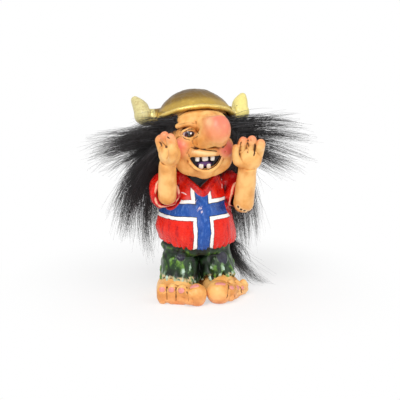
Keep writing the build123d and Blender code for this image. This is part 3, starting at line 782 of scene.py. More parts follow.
def carve_foot(name):
    """A bare foot with toe gaps and nails."""
    carving = settings("carving")
    node = f"{name}_foot"
    form = node_form(node)
    fill_toes(form, name)
    if name == "left":
        for vert in form.verts:
            vert.co.z *= 1 - OUTER_TOES_DROP * ramp(vert.co.x, 13, 22)
    cast = Casting(node, form, carving.skin_step, 4)
    for gap in TOE_GAPS[name]:
        cast.press(cast.traced(gap), 0.5, carving.groove, "ink", 0.8)
    across = np.array(camera_axes()[1])
    for px, py, wide, tall in TOE_NAILS[name]:
        spot = np.array(cast.seen(px, py))
        ends = [spot - across * (wide - tall), spot + across * (wide - tall)]
        cast.press(ends, tall, -NAIL_RISE)
        cast.edge("nail", ends, tall)
        ring, off = cast.reach(ends, tall + 1.5)
        cast.co[ring] -= cast.no[ring] * (NAIL_MOAT * bell(off - tall - 0.15, 0.3))[:, None]
    cast.swell(0.12 * ripple(cast.co, 7, 3))
    cast.settle()
    x, y, z = cast.co.T
    z[:] = np.maximum(z, 0)
    cast.marks["hollow"] = cast.hollows(10)
    cast.marks["blush"] = 0.35 * ramp(z, 8, 0) * ramp(y, -14, -22)
    cast.place(skin_paint(), "skin", node)


# Trousers

LEG_SHADOW_CLAY = (((0, 5, 14), (5.5, 6, 8)), ((0, 6, 9), (5, 6, 8.6)))  # middle and radii of clay between the legs, darkened to stand in for the shadow there
KNEE_PATCHES = (((181, 257.5), 3.1), ((222, 257), 3.9))  # picture point and radius
PATCH_RISE = 0.35
HIP_SQUASH, HIP_TAPER, HEM_FLARE = 0.2, 0.07, 0.05  # shares of depth, and of width above and below
HEM_FORWARD, HEM_FALL = 1.8, 2.3
RIGHT_HEM = 1.8  # the right hem falls this many times as far as the left
LEG_GAP = 4.6  # half width of the painted shade between the legs


def carve_trousers():
    """Creased trousers with knee patches, ragged hems and painted shade between the legs, under the shirt and
    towards the hems.
    """
    carving = settings("carving")
    form = node_form("trousers")
    for middle, radii in LEG_SHADOW_CLAY:
        pellet(form, middle, radii)
    cast = Casting("trousers", form, carving.cloth_step, 2)
    x, y, z = cast.co.T
    y *= 1 - HIP_SQUASH * ramp(z, 36, 28) * ramp(z, 21, 24)
    cast.smooth((z > 19) & (z < 30), 30)
    fold = ripple(cast.co * (1, 1, 1.5), 9, 11) + 0.6 * ripple(cast.co * (1.4, 1.4, 1), 4.2, 12)
    cast.swell(ramp(z, 34, 30) * carving.fold * 0.8 * fold)
    cast.settle()
    cast.survey()
    for spot, width in KNEE_PATCHES:
        middle = cast.seen(*spot)
        cast.edge("patch", [middle], width)
        pick, off = cast.reach([middle], width + 2)
        cast.co[pick] += cast.no[pick] * (PATCH_RISE * ramp(off, width, width - 0.5))[:, None]
    drop = ramp(z, 22, 15) * ramp(y, 4, -2) * np.where(x < 0, RIGHT_HEM, 1.0)
    torn = 1 + 0.7 * ripple(cast.co * (1, 1, 0.1), 4, 16)
    y -= HEM_FORWARD * drop
    z -= HEM_FALL * drop * torn
    x *= 1 - HIP_TAPER * ramp(z, 28, 32) + HEM_FLARE * ramp(z, 24, 12)
    z[:] = np.maximum(z, 0.2)
    cast.settle()
    fray = ramp(z, 14.4, 12.2) * ramp(z, 8, 10)
    cast.swell(fray * (0.3 + 0.45 * ripple(cast.co * (1, 1, 0.3), 2.4, 13)))
    cast.settle()
    # painted shade between the legs, under the shirt's hem and towards the hems, added to the hollows
    between = bell(x, LEG_GAP)
    shade = 0.3 * ramp(z, 28.5, 31) + 0.3 * ramp(z, 10, 7) + 0.35 * between
    cast.marks["hollow"] = cast.hollows(12) + shade
    cast.marks["hem"] = fray * (1 - between) * np.clip(0.6 + 0.6 * ripple(cast.co, 2.2, 14), 0, 1)
    cast.marks["frost"] = ramp(z, 24, 19) * np.clip(0.25 + ripple(cast.co, 5, 15), 0, 1)
    cast.place(trouser_paint(), "trousers", "trousers")


# Shirt

NECK_LINE = ((-11.5, -1.5, 72), (-8.2, -8.6, 69.6), (-4.2, -12.4, 66.4), (0, -14.6, 62.6),
             (4.2, -12.4, 66.4), (8.2, -8.6, 69.6), (11.5, -1.5, 72))  # along the middle of the collar
NECK_LOW, NECK_SLOPE = 62.6, 9.5 / 11  # point of the V and its rise to each side
SLEEVE_GAP = 0.45  # painted shade in the gap round an arm in its sleeve
SHOULDER = (14.5, 0, 63.5)  # of the left side
SHIRT_HIGHLIGHTS = (  # picture points along painted highlights on the chest
    ((181.5, 192.5), (184, 193.2), (186.2, 194.6)), ((221.6, 178), (221.8, 184), (222, 188)),
)
SCUFF_SPOT = (202, 208.5)  # picture point of the scratched middle of the cross
SCUFFS = 13
FAR = 99.0


def elbow_ball(name):
    """Middle and radius of an elbow, read from the forearm's solid."""
    spots = np.array([v.co[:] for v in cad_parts[f"{name}_forearm"].data.vertices]) / MM
    below = spots[:, 2].min()
    end = spots[spots[:, 2] < below + 6]
    radius = (end[:, 0].max() - end[:, 0].min()) / 2
    elbow = (end.min(0) + end.max(0)) / 2
    elbow[2] = below + radius
    return elbow, radius


def sleeve_room(cast):
    """How far each point of the shirt lies from the skin of an arm, and from the middle of a sleeve."""
    skin, sleeve = np.full((2, len(cast.co)), FAR)
    for name, side in SIDES.items():
        elbow, radius = elbow_ball(name)
        pick, off = cast.reach([elbow, elbow + (0, -7, 20)], 12)
        skin[pick] = np.minimum(skin[pick], off - radius)
        shoulder = np.array(SHOULDER) * (side, 1, 1)
        middle = (shoulder + elbow) / 2 + (side * 2, 2, 2)
        pick, off = cast.reach([shoulder, middle, elbow + (0, 3, -1.5)], 14)
        sleeve[pick] = np.minimum(sleeve[pick], off)
    return skin, sleeve


def scratch_cross(cast):
    """Short scratches on the middle of the cross, which all lean the same way."""
    draw = np.random.default_rng(26)
    for _ in range(SCUFFS):
        middle = np.array(SCUFF_SPOT) + draw.normal(0, (3.2, 2.4))
        lean = draw.normal(-1.0, 0.12)
        way = draw.uniform(1.2, 2.6) * np.array((math.cos(lean), math.sin(lean)))
        cast.stain("scuff", cast.traced((middle - way, middle, middle + way)), 0.3, draw.uniform(0.5, 0.8))


def carve_shirt():
    """Torn shirt with a banded V neck, open sleeve ends and a frayed hem."""
    carving = settings("carving")
    cast = Casting("shirt", node_form("shirt"), carving.cloth_step, 3)
    cast.press(NECK_LINE, 1.6, -0.55)
    cast.edge("collar", np.array(NECK_LINE) - (0, 0.2, 0.6), 2.5)
    skin, middle = sleeve_room(cast)
    x, y, z = cast.co.T
    inside = skin < SLEEVE_GAP
    lip = bell(skin - 1.5, 0.7) * (y < -11) * ~inside
    cast.swell(lip * 0.35 * (1 + 0.5 * ripple(cast.co, 2.8, 22)))
    belly = ramp(z, 33, 39) * ramp(z, 60, 54)
    cast.swell(0.28 * belly * ripple(cast.co * (1, 1, 0.45), 7, 21))
    x -= 1.1 * belly
    z += 3.2 * ramp(x, -9, -21) ** 1.5 * ramp(z, 46, 31)
    sleeve = ramp(middle, 9.4, 7.9) * (np.abs(x) > 12)
    cast.swell(sleeve * 0.4 * ripple(cast.co * (1, 1, 1.6), 5, 23))
    comb = np.sin(40 * np.arctan2(x, -y) + 2.2 * ripple(cast.co * (1, 1, 0.2), 8, 24))
    cast.swell(ramp(z, 36, 32) * 0.28 * comb)
    cast.settle()
    cast.marks["hollow"] = cast.hollows(12)
    cast.marks["cuff"] = lip * np.clip(0.8 + 0.35 * ripple(cast.co, 4, 25), 0, 1)
    undershirt = np.minimum((z - NECK_LOW - 1) / NECK_SLOPE - np.abs(x), y + 9.4)
    # painted shade in the gap round each arm in its sleeve, and the dark undershirt in the V
    cast.marks["dark"] = np.maximum(np.where(inside, SLEEVE_GAP - skin, -1), np.minimum(undershirt, 3))
    # painted highlights on the chest
    for line in SHIRT_HIGHLIGHTS:
        cast.stain("scuff", cast.traced(line), 0.32)
    scratch_cross(cast)
    below_neck = NECK_LOW + np.abs(x) * NECK_SLOPE - z
    cast.marks["flag"] = np.minimum.reduce([middle - 8.7, 3 - y, below_neck, np.full(len(x), 2.0)])
    cast.marks["shade"] = np.clip(sleeve * 0.6 + ramp(z, 31.5, 29.5) * 0.5, 0, 1)
    cast.place(shirt_paint(), "shirt", "shirt")


# Forearms

HAND_STROKES = {  # picture points along the dark lines of each hand
    "right": (((159.4, 142.5), (161.6, 145.5)), ((161, 140.6), (163.6, 144.6), (165.4, 147.4)),
              ((163, 143.6), (166.6, 147)), ((166.4, 136.4), (169.6, 138.6))),
    "left": (((248, 140), (248.3, 146), (247.6, 152.5)), ((255.5, 143), (254.6, 150), (254, 156)),
             ((241, 142), (240.6, 147), (240.3, 151)), ((250.4, 138.6), (250.8, 141.6))),
}
ELBOW_DOTS = {  # picture points of the dark stitches under the left elbow
    "right": (),
    "left": ((238, 207), (241, 209.5), (244.5, 211), (248, 211.5), (252, 209)),
}
WRIST = 80  # height where a hand begins
RIGHT_HAND_LEAN = 2.8  # how far the right hand's tip leans to the head
LEFT_HAND_LEAN, FINGER_LIFT = 0.8, 2  # how far the left fingers lean out and are drawn out
THUMB_SIDE, THUMB_SLIM = 17, 0.2  # inner limit of the left thumb, and the share of its width that it loses


def bend_hand(form, name):
    """Brings a hand to its place in the picture."""
    for vert in form.verts:
        if name == "right":
            vert.co.x += RIGHT_HAND_LEAN * ramp(vert.co.z, WRIST, WRIST + 17)
        else:
            raised = ramp(vert.co.z, WRIST, WRIST + 12)
            slimmed = THUMB_SLIM * max(THUMB_SIDE - vert.co.x, 0) * ramp(vert.co.z, WRIST - 4, WRIST)
            vert.co.x += LEFT_HAND_LEAN * raised + slimmed
            vert.co.z += FINGER_LIFT * raised


def carve_forearm(name):
    """A bent forearm with its raised hand."""
    carving = settings("carving")
    node = f"{name}_forearm"
    form = node_form(node)
    bend_hand(form, name)
    cast = Casting(node, form, carving.skin_step, 3)
    for line in HAND_STROKES[name]:
        cast.press(cast.traced(line), 0.5, carving.groove, "ink", 0.9)
    for spot in ELBOW_DOTS[name]:
        cast.press(cast.traced([spot]), 0.75, 0.35, "ink", 1.3)
    cast.stain("light", cast.traced(ELBOW_DOTS[name]), 1.2, 0.9)
    cast.swell(0.1 * ripple(cast.co, 6, 31))
    cast.settle()
    cast.marks["hollow"] = cast.hollows(10)
    z = cast.co[:, 2]
    cast.marks["blush"] = 0.6 * ramp(z, z.max() - 7, z.max() - 1)
    cast.place(skin_paint(), "skin", node)


# Head

EYE_ROLLS = (  # x to the figure's left, y, z and radius along the bag under an eye, and along its brow
    ((13.2, -15.2, 92.6, 1.1), (9, -18.6, 91.6, 1.5), (4.8, -19.4, 92.8, 1.1)),
    ((14, -13.8, 99.6, 1.4), (9.5, -17.6, 102.2, 2.1), (4.2, -18.6, 101, 1.8)),
)
NOSE_ROLLS = (  # x, y, z and radius along both sides of the nose and its bridge
    ((-4.2, -20.2, 91.3, 3.0), (-0.8, -23.6, 94, 5.4), (2.6, -27.2, 97.6, 6.9)),
    ((8.6, -20.4, 91.2, 2.8), (7.0, -23.6, 93.8, 4.8), (5.0, -27.6, 97.5, 6.8)),
    ((1.2, -19.5, 101, 3.6), (2.8, -24, 101, 5.6), (4.2, -27.5, 100, 6.7)),
)
JAW_ROLLS = (((5.6, -16.4, 74.8, 3.5), (10.6, -15, 78.8, 5.2), (12.8, -13.6, 84, 5.0)),)
MOUTH_HEIGHT, MOUTH_RADIUS = 85.75, 9.35  # middle and radius of the smile's arc
MOUTH_TOP = 83.5
LIP_RADIUS, LIP_THICK, LIP_SPREAD = 9.9, 0.95, 1.3  # arc, radius and half angle of the lower lip
TONGUE = ((0, -18.2, 79.2), (4.4, 1.6, 1.6))  # middle and radii
FOREHEAD = ((0, -13, 102.6), (14, 7.8, 5.6))
LID_ROLLS = ((0.66, 0.85), (-0.55, 0.7))  # rise and radius of the upper and the lower lid
LID_STROKES = (  # picture points along the dark outlines of the lids
    ((182.6, 134.8), (184.4, 132), (187.6, 129.8), (191.6, 129), (195.8, 130.6), (198.4, 133.4)),
    ((182.6, 136.4), (185.6, 139), (189.6, 140), (194, 139), (197.6, 136)),
)
SMILE_LINES = (  # x to the figure's left and z along a crease, its half width and its tone
    (((5.6, 91.2), (9.4, 88.6), (10.8, 86)), 0.6, 0.6), (((12.6, 96.8), (15.4, 97.6)), 0.35, 0.8),
    (((12.6, 95.6), (15.2, 94.4)), 0.35, 0.8), (((12.4, 98), (14.6, 99.6)), 0.3, 0.6),
)
FACE_STROKES = (  # picture points along a brushed dark line, its half width and its tone; the first is a painted shadow under the nose, the second the brow line with the painted shade under it
    (((191.2, 147.4), (197, 148.8), (205, 149.8), (212, 150.6), (217, 151.2)), 0.4, 0.95),
    (((179.2, 124.6), (187.3, 122.8), (194, 123.4), (199, 125.4)), 0.45, 0.55),
    (((181.5, 117.5), (191, 114.8), (199, 116.4)), 0.5, 0.3), (((179, 152), (179.4, 157)), 0.4, 0.6),
    (((188.6, 154), (189.4, 157)), 0.4, 0.7), (((219.4, 155), (219, 158)), 0.4, 0.7),
)
FACE_HIGHLIGHTS = (  # picture points along a painted highlight, on the upper lip and on the nose, its half width and its tone
    (((193.5, 151.5), (203, 153), (215, 154)), 1.1, 0.8), (((208, 121.5), (209.5, 123.5)), 2.2, 0.5),
)
BLUSHES = (  # picture point, reach and tone
    ((222, 121.5), 15, 0.85), ((176.5, 146.5), 8, 1.0), ((228, 149), 7.6, 1.0),
)
WART = (190, 163)  # picture point


def eyelids(form, name):
    """Rolls of clay over and under an eye."""
    low, high = (np.array(corner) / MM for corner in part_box(f"{name}_eye"))
    middle, radius = (low + high) / 2, (high[0] - low[0]) / 2
    for rise, thick in LID_ROLLS:
        knots = []
        for a in np.radians(range(0, 181, 30)):
            way = np.array((2.4 * math.cos(a), -0.8, rise * math.sin(a) - 0.02))
            spot = middle + way / np.linalg.norm(way) * (radius + 0.35)
            knots.append((*spot, thick * (0.75 + 0.25 * math.sin(a))))
        roll(form, *knots)


def mirrored_rolls(form, side, rolls):
    """Rolls of clay on one side of the head."""
    for line in rolls:
        roll(form, *((side * x, y, z, r) for x, y, z, r in line))


def model_head():
    """Head's solid with lids, bags, brows, nose, lower lip, tongue, jaw and forehead laid on in clay."""
    form = node_form("head")
    for name, side in SIDES.items():
        eyelids(form, name)
        mirrored_rolls(form, side, EYE_ROLLS)
    for line in NOSE_ROLLS:
        roll(form, *line)
    roll(form, *((LIP_RADIUS * math.sin(a), -22.5 + 2.6 * math.sin(a) ** 2,
                  MOUTH_HEIGHT - LIP_RADIUS * math.cos(a), LIP_THICK)
                 for a in np.linspace(-LIP_SPREAD, LIP_SPREAD, 9)))
    pellet(form, *TONGUE)
    for side in SIDES.values():
        mirrored_rolls(form, side, JAW_ROLLS)
    pellet(form, *FOREHEAD)
    return form


def line_face(cast):
    """Dark lines, wrinkles, painted shadow under the nose and brow, and painted highlights on the lip and
    nose.
    """
    groove = settings("carving").groove
    for side in SIDES.values():
        for line in LID_STROKES:
            cast.stain("ink", [(-side * x, y, z) for x, y, z in cast.traced(line)], 0.36, 0.9)
        for points, width, tone in SMILE_LINES:
            spots = [cast.front(side * x, z, -24) for x, z in points]
            if None not in spots:
                cast.press(spots, width, groove * 0.8, "ink", tone)
    # painted shadow along the top of the upper lip, under the nose
    lip_top = [cast.front(x, 88.9 - 0.02 * x * x, -26) for x in (-7.5, -4, 0, 4, 7.5)]
    cast.stain("ink", [(x, y + 0.4, z) for x, y, z in lip_top], 0.5, 0.5)
    for line, width, tone in FACE_STROKES:
        cast.press(cast.traced(line), width, 0.25 * groove, "ink", tone)
    for line, width, tone in FACE_HIGHLIGHTS:
        cast.stain("light", cast.traced(line), width, tone)


def carve_head():
    """Grinning head with a bulbous nose, lids, bags, wrinkles and lips."""
    cast = Casting("head", model_head(), settings("carving").skin_step, 4)
    x, y, z = cast.co.T
    bridge = 107.4 - 0.27 * (y + 32)
    z -= 0.85 * np.maximum(z - bridge, 0) * ramp(y, -20.2, -22.2) * ramp(y, -33, -30)
    cast.smooth((z > 102.8) & (y < -12), 60)
    cast.smooth((np.hypot(x, z - MOUTH_HEIGHT) > 10.8) & (z < 83) & (y < -6), 50)
    cast.smooth((y < -21.5) & (z > 90), 90)
    cast.survey()
    mouth = np.minimum(MOUTH_RADIUS - np.hypot(x, z - MOUTH_HEIGHT), MOUTH_TOP - z)
    in_mouth = (mouth > -0.3) & (y < -16.5) & (y > -22.2)
    line_face(cast)
    cast.press([cast.seen(*WART)], 0.8, -0.6)
    cast.swell(0.12 * ripple(cast.co, 8, 41))
    cast.settle()
    cast.marks["hollow"] = np.where(in_mouth, 0, cast.hollows(14))
    cast.marks["mouth"] = np.where((y < -16.5), np.minimum(mouth, 1), -1)
    tongue = np.clip(1.4 - np.hypot(x / 4.4, (z - 79.0) / 1.7), 0, 1)
    cast.marks["tongue"] = np.where((y < -18.1) & (y > -21), tongue, 0)
    blush = np.zeros(len(cast.co))
    for spot, reach, tone in BLUSHES:
        near = np.clip(1.15 - np.linalg.norm(cast.co - cast.seen(*spot), axis=1) / reach, 0, 1)
        blush = np.maximum(blush, tone * near * near * (3 - 2 * near))
    cast.marks["blush"] = blush
    cast.place(skin_paint(), "skin", "head")


# Eyes and teeth

IRIS_RADIUS, IRIS_RISE = 1.7, 0.22
TOOTH_LEAN = 0.06  # radians, to each side in turn
TOOTH_ROUND = 0.38  # share of a tooth's least size that its edges are rounded by


def make_eye(name):
    """A ball with its pole ahead, slightly raised at the iris."""
    node = f"{name}_eye"
    low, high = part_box(node)
    middle = (low + high) / 2
    bm = bmesh.new()
    bmesh.ops.create_uvsphere(bm, u_segments=48, v_segments=32, radius=(high.x - low.x) / 2,
                              matrix=Matrix.Translation(middle) @ Matrix.Rotation(math.pi / 2, 4, "X"))
    ahead = middle + Vector((0, low.y - high.y, 0)) / 2
    for vert in bm.verts:
        off = (vert.co - ahead).length / MM
        vert.co.y -= IRIS_RISE * MM * math.exp(-(off / IRIS_RADIUS) ** 4)
    mesh = bpy.data.meshes.new(node)
    bm.to_mesh(mesh)
    bm.free()
    piece(node, mesh, eye_paint(name), "eye", node)


def loose_groups(bm):
    """Points of each separate solid, from the figure's right to its left."""
    groups = []
    left = set(bm.verts)
    while left:
        todo, group = [left.pop()], []
        while todo:
            vert = todo.pop()
            group.append(vert.co[:])
            joined = {edge.other_vert(vert) for edge in vert.link_edges} & left
            left -= joined
            todo.extend(joined)
        groups.append(np.array(group))
    return sorted(groups, key=lambda group: group[:, 0].min())


def make_teeth(node, gum):
    """Rounded pegs in place of the row's plain ones; the gum is at 1 above or 0 below them."""
    source = node_form(node)
    bm = bmesh.new()
    for k, group in enumerate(loose_groups(source)):
        low, high = Vector(group.min(0)), Vector(group.max(0))
        size = high - low
        place = Matrix.Translation((low + high) / 2) @ Matrix.Rotation(TOOTH_LEAN * (-1) ** k, 4, "Y")
        peg = bmesh.ops.create_cube(bm, size=1, matrix=place @ Matrix.Diagonal((*size, 1)))["verts"]
        edges = {edge for vert in peg for edge in vert.link_edges}
        bmesh.ops.bevel(bm, geom=list(edges), offset=TOOTH_ROUND * min(size), offset_type="OFFSET",
                        segments=4, profile=0.5, affect="EDGES", material=-1)
    source.free()
    mesh = bpy.data.meshes.new(node)
    bm.to_mesh(mesh)
    bm.free()
    rise = np.array([v.co.z for v in mesh.vertices])
    share = ramp(rise, rise.min(), rise.max())
    layer = mesh.attributes.new("root", "FLOAT", "POINT")
    layer.data.foreach_set("value", np.clip(1 - 2.2 * np.abs(share - gum), 0, 1).astype(np.float32))
    mesh.transform(Matrix.Scale(MM, 4))
    piece(node, mesh, tooth_paint(), "tooth", node)


# Helmet, horns and tail

RIM_MIDDLE, RIM_RADIUS = (0, 5.73, 98.2), 22.2
HORN_GROWTH, HORN_CURL = 0.45, 1.6  # how much thicker a horn is than its solid, and how far its tip leans out
HORN_FLAW = (237, 106)  # picture point of the dark spot on the left horn


def carve_helmet():
    """Beaten bowl with a painted highlight along its rim and painted shade towards its top."""
    cast = Casting("helmet", node_form("helmet"), settings("carving").skin_step, 2)
    cast.swell(0.14 * ripple(cast.co, 6, 51) + 0.05 * ripple(cast.co, 2.4, 52))
    cast.settle()
    off = cast.co - RIM_MIDDLE
    height = off @ (0, math.sin(SKULL_TILT), math.cos(SKULL_TILT))
    cast.marks["hollow"] = cast.hollows(10)
    # painted highlight along the rim
    cast.marks["rub"] = bell(height - 0.6, 1.4) * (np.linalg.norm(off, axis=1) > RIM_RADIUS)
    # height up the dome, for painted shade on its top and painted light on its low band
    cast.marks["crown"] = ramp(height, 4.5, 13.5)
    cast.marks["boss"] = ramp(np.abs(cast.co[:, 0]), RIM_RADIUS, RIM_RADIUS + 0.6) * (height > 1.8)
    cast.place(gold_paint(), "helmet", "helmet")


def carve_horn(name):
    """Blunt curled horn with streaks along it."""
    node = f"{name}_horn"
    cast = Casting(node, node_form(node), 0.8 * settings("carving").skin_step, 3)
    x, y, z = cast.co.T
    rise = ramp(z, z.min(), z.max())
    cast.swell(HORN_GROWTH + 0.12 * ripple(cast.co * (1, 1, 0.5), 5, 61))
    x += SIDES[name] * HORN_CURL * rise ** 3
    cast.settle()
    cast.marks["hollow"] = cast.hollows(24)
    if name == "left":
        cast.stain("ink", [cast.seen(*HORN_FLAW)], 0.6)
    cast.place(horn_paint(), "horn", node)


def carve_tail():
    """Bare tail with an uneven skin."""
    cast = Casting("tail", node_form("tail"), settings("carving").skin_step, 2)
    cast.swell(0.12 * ripple(cast.co, 3, 71))
    cast.settle()
    cast.marks["hollow"] = cast.hollows(8)
    cast.place(skin_paint(), "skin", "tail")


# Fur

HIDE_RADIUS, HIDE_HEIGHT, HIDE_THICK = 21.2, 22.0, 0.5
HAIR_POINTS = 6
GROUND_GAP = 0.3  # least height of a hair
STRAY_SHARE, SHORT_SHARE = 0.22, 0.45  # shares of the hairs that stick out, and that end early
UPPER_HIDE = (-50, 42, -2.8, 6)  # first and last angle in degrees, lowest and highest level
LOWER_HIDE = (-12, 42, -12, -2.8)
BACK_HIDE = (42, 138, -12, 9)
FALL = np.array((0.1, 0.1, -1.0))  # the way that the short hairs lie
UPPER_LOCKS = {  # root angle in degrees, root level, picture point of the tip, its depth
    "right": ((-47, 2, 122, 132, -1), (-20, 1, 103, 139, 2), (-6, 0, 89, 150, 5), (2, -2, 96, 156, 8),
              (6, -3, 95, 170, 10), (14, -4, 120, 172, 12)),
    "left": ((-38, 1, 292, 123, -1), (-22, 0.5, 306, 127, 2), (-8, 0, 312, 139, 5), (0, -2, 304, 157, 8),
             (8, -4, 296, 167, 10), (14, -5, 288, 172, 12)),
}
LOWER_LOCKS = {
    "right": ((-4, -6, 113, 219, 3), (2, -7, 121, 234, 4), (8, -8, 128, 238, 6), (16, -8, 147, 247, 8),
              (24, -7, 152, 254, 10)),
    "left": ((-38, -6, 212, 184, -5), (-30, -5, 225, 182, -3), (0, -6, 256, 232, 4), (4, -7, 250, 246, 6),
             (12, -8, 243, 248, 8), (20, -8, 236, 246, 10), (28, -8, 238, 238, 10), (32, -8, 234, 244, 11)),
}
CHIN_ANGLE, NAPE_ANGLE = -20, 26  # degrees; locks before the first lie at the chin
UPPER_BOW = (0.0, 2.5, 1.0)
CHIN_BOW, ARM_BOW, NAPE_BOW = (0.5, 0.5, 1.0), (3.5, 5.0, 1.5), (0.0, 4.0, 1.0)
BACK_LOCKS = (  # root angle in degrees, tip x and z
    (58, 19, 29), (74, 10, 21), (90, 0, 25), (106, -10, 19), (122, -19, 28),
)
BACK_LEVEL, BACK_DEPTH, BACK_BOW = -4.0, 33.0, (0.0, 7.5, 6.0)
TAIL_LOCKS = (  # root x, y and z, picture point of the tip, its depth, sideways and upward bow
    (19, 22.5, 26, 264, 286, 3, -2, -1), (19.5, 22.5, 24.5, 253, 279, 5, 0, 1),
    (20, 22, 24, 245, 278, 9, 2.5, 4.5), (19, 22, 25, 241, 275, 12, 3, 5),
)


def scalp_point(turn, level):
    """Point on the hide, by the angle from the ear line and the height along the tilted skull axis."""
    ring = HIDE_RADIUS * np.sqrt(np.maximum(1 - (level / HIDE_HEIGHT) ** 2, 0.05))
    x, y = ring * np.cos(turn), ring * np.sin(turn)
    c, s = math.cos(SKULL_TILT), math.sin(SKULL_TILT)
    return np.stack([x, c * y + s * level, c * level - s * y], axis=-1) + SKULL_MIDDLE


def grow(draw, roots, tips, bows, count, spread, loose, clumps):
    """Hair lines in clumps: each clump runs from a root to a tip over a bow, and its hairs fan about it."""
    pick = draw.integers(len(roots), size=clumps)
    other = (pick + draw.integers(0, 2, size=clumps)) % len(roots)
    share = draw.uniform(0, 1, (clumps, 1)) * (np.abs(other - pick) == 1)[:, None]

    def clump(ends, scatter):
        return ends[pick] * (1 - share) + ends[other] * share + draw.normal(0, scatter, (clumps, 3))

    root, tip, bow = clump(roots, spread * 0.5), clump(tips, spread), clump(bows, spread * 0.5)
    which = draw.integers(clumps, size=count)
    stray = draw.uniform(size=(count, 1)) < STRAY_SHARE
    start = root[which] + draw.normal(0, 1.5, (count, 3))
    end = tip[which] + draw.normal(0, 1, (count, 3)) * np.where(stray, 3 * loose, loose)
    middle = (start + end) / 2 + bow[which] + draw.normal(0, 0.8, (count, 3))
    short = draw.uniform(size=(count, 1, 1)) < SHORT_SHARE
    reach = np.where(short, draw.uniform(0.22, 0.6, (count, 1, 1)), draw.uniform(0.55, 1.04, (count, 1, 1)))
    t = np.linspace(0, 1, HAIR_POINTS)[None, :, None] * reach
    control = 2 * middle - (start + end) / 2
    lines = (1 - t) ** 2 * start[:, None] + 2 * t * (1 - t) * control[:, None] + t ** 2 * end[:, None]
    wave = draw.normal(0, 0.35, (count, 1, 3)) * np.sin(5 * t + draw.uniform(0, 6, (count, 1, 1)))
    return lines + wave * t


def undercoat(draw, count, first, last, low, high):
    """Short hairs that lie over a slice of hide, between two angles in degrees and two levels."""
    root = scalp_point(np.radians(draw.uniform(first, last, count)), draw.uniform(low, high, count))
    out = root - SKULL_MIDDLE
    out /= np.linalg.norm(out, axis=1, keepdims=True)
    along = FALL - out * (out @ FALL)[:, None]
    way = along * draw.uniform(5, 10, (count, 1)) + out * draw.uniform(0.8, 2.6, (count, 1))
    way += draw.normal(0, 1.3, (count, 3))
    t = np.linspace(0, 1, HAIR_POINTS)[None, :, None]
    return root[:, None] + t * way[:, None] + 0.6 * (t - t * t) * out[:, None]


def hide_patch(first, last, low, high):
    """Thin slice of hide on the skull, between two angles in degrees and two levels."""
    bm = bmesh.new()
    bmesh.ops.create_uvsphere(bm, u_segments=120, v_segments=80, radius=1,
                              matrix=Matrix.Diagonal((HIDE_RADIUS, HIDE_RADIUS, HIDE_RADIUS + 3, 1)))
    away = []
    for face in bm.faces:
        spot = face.calc_center_median()
        if not (low < spot.z < high and first < math.degrees(math.atan2(spot.y, spot.x)) < last):
            away.append(face)
    bmesh.ops.delete(bm, geom=away, context="FACES")
    bmesh.ops.solidify(bm, geom=bm.faces[:], thickness=HIDE_THICK)
    bmesh.ops.recalc_face_normals(bm, faces=bm.faces)
    bm.transform(Matrix.Translation(SKULL_MIDDLE) @ Matrix.Rotation(-SKULL_TILT, 4, "X"))
    return bm


def sweep_hairs(name, lines, thick):
    """Closed thin hairs along the lines, each with its own radius at the root."""
    curve = bpy.data.curves.new(name, "CURVE")
    curve.dimensions = "3D"
    curve.bevel_depth = 1
    curve.bevel_resolution = 0
    taper = np.linspace(1, 0.2, lines.shape[1])
    for line, radius in zip(lines, thick):
        hair = curve.splines.new("POLY")
        hair.points.add(len(line) - 1)
        hair.points.foreach_set("co", np.c_[line, np.ones(len(line))].ravel())
        hair.points.foreach_set("radius", radius * taper)
    work = bpy.data.objects.new(name, curve)
    bpy.context.scene.collection.objects.link(work)
    swept = bpy.data.meshes.new_from_object(work.evaluated_get(bpy.context.evaluated_depsgraph_get()))
    bpy.data.objects.remove(work)
    bm = bmesh.new()
    bm.from_mesh(swept)
    bpy.data.meshes.remove(swept)
    bmesh.ops.holes_fill(bm, edges=[edge for edge in bm.edges if edge.is_boundary], sides=4)
    bmesh.ops.recalc_face_normals(bm, faces=bm.faces)
    return bm


def fur_piece(name, draw, lines, hide=None, side=LEFT, coats=1):
    """Joins hairs along the lines, which are drawn for the left, with a slice of hide and its short hairs."""
    fur = settings("fur")
    if hide:
        lines = np.vstack([lines, undercoat(draw, coats * fur.short_hairs, *hide)])
    lines[..., 2] = np.maximum(lines[..., 2], GROUND_GAP)
    count, points = lines.shape[:2]
    bm = sweep_hairs(name, lines, fur.thickness * draw.uniform(0.7, 1.15, count))
    each = len(bm.verts) // count
    mesh = bpy.data.meshes.new(name)
    if hide:
        patch = hide_patch(*hide)
        patch.to_mesh(mesh)
        patch.free()
        bm.from_mesh(mesh)
    if side == RIGHT:
        bmesh.ops.scale(bm, verts=bm.verts, vec=(-1, 1, 1))
        bmesh.ops.reverse_faces(bm, faces=bm.faces)
    bm.to_mesh(mesh)
    bm.free()
    shade, along = np.zeros((2, len(mesh.vertices)), np.float32)
    shade[:each * count] = np.repeat(draw.beta(1.2, 3.0, count), each)
    along[:each * count] = np.tile(np.repeat(np.linspace(0, 1, points), each // points), count)
    for mark, field in (("shade", shade), ("tip", along)):
        mesh.attributes.new(mark, "FLOAT", "POINT").data.foreach_set("value", field)
    mesh.transform(Matrix.Scale(MM, 4))
    piece(name, mesh, fur_paint(), "hair", name)


def side_locks(name, locks):
    """Roots and tips of one side's locks, drawn for the left."""
    locks = np.array(locks[name], float)
    roots = scalp_point(np.radians(locks[:, 0]), locks[:, 1])
    tips = np.array([at_depth(*lock[2:]) for lock in locks])
    return roots, tips * (SIDES[name], 1, 1)


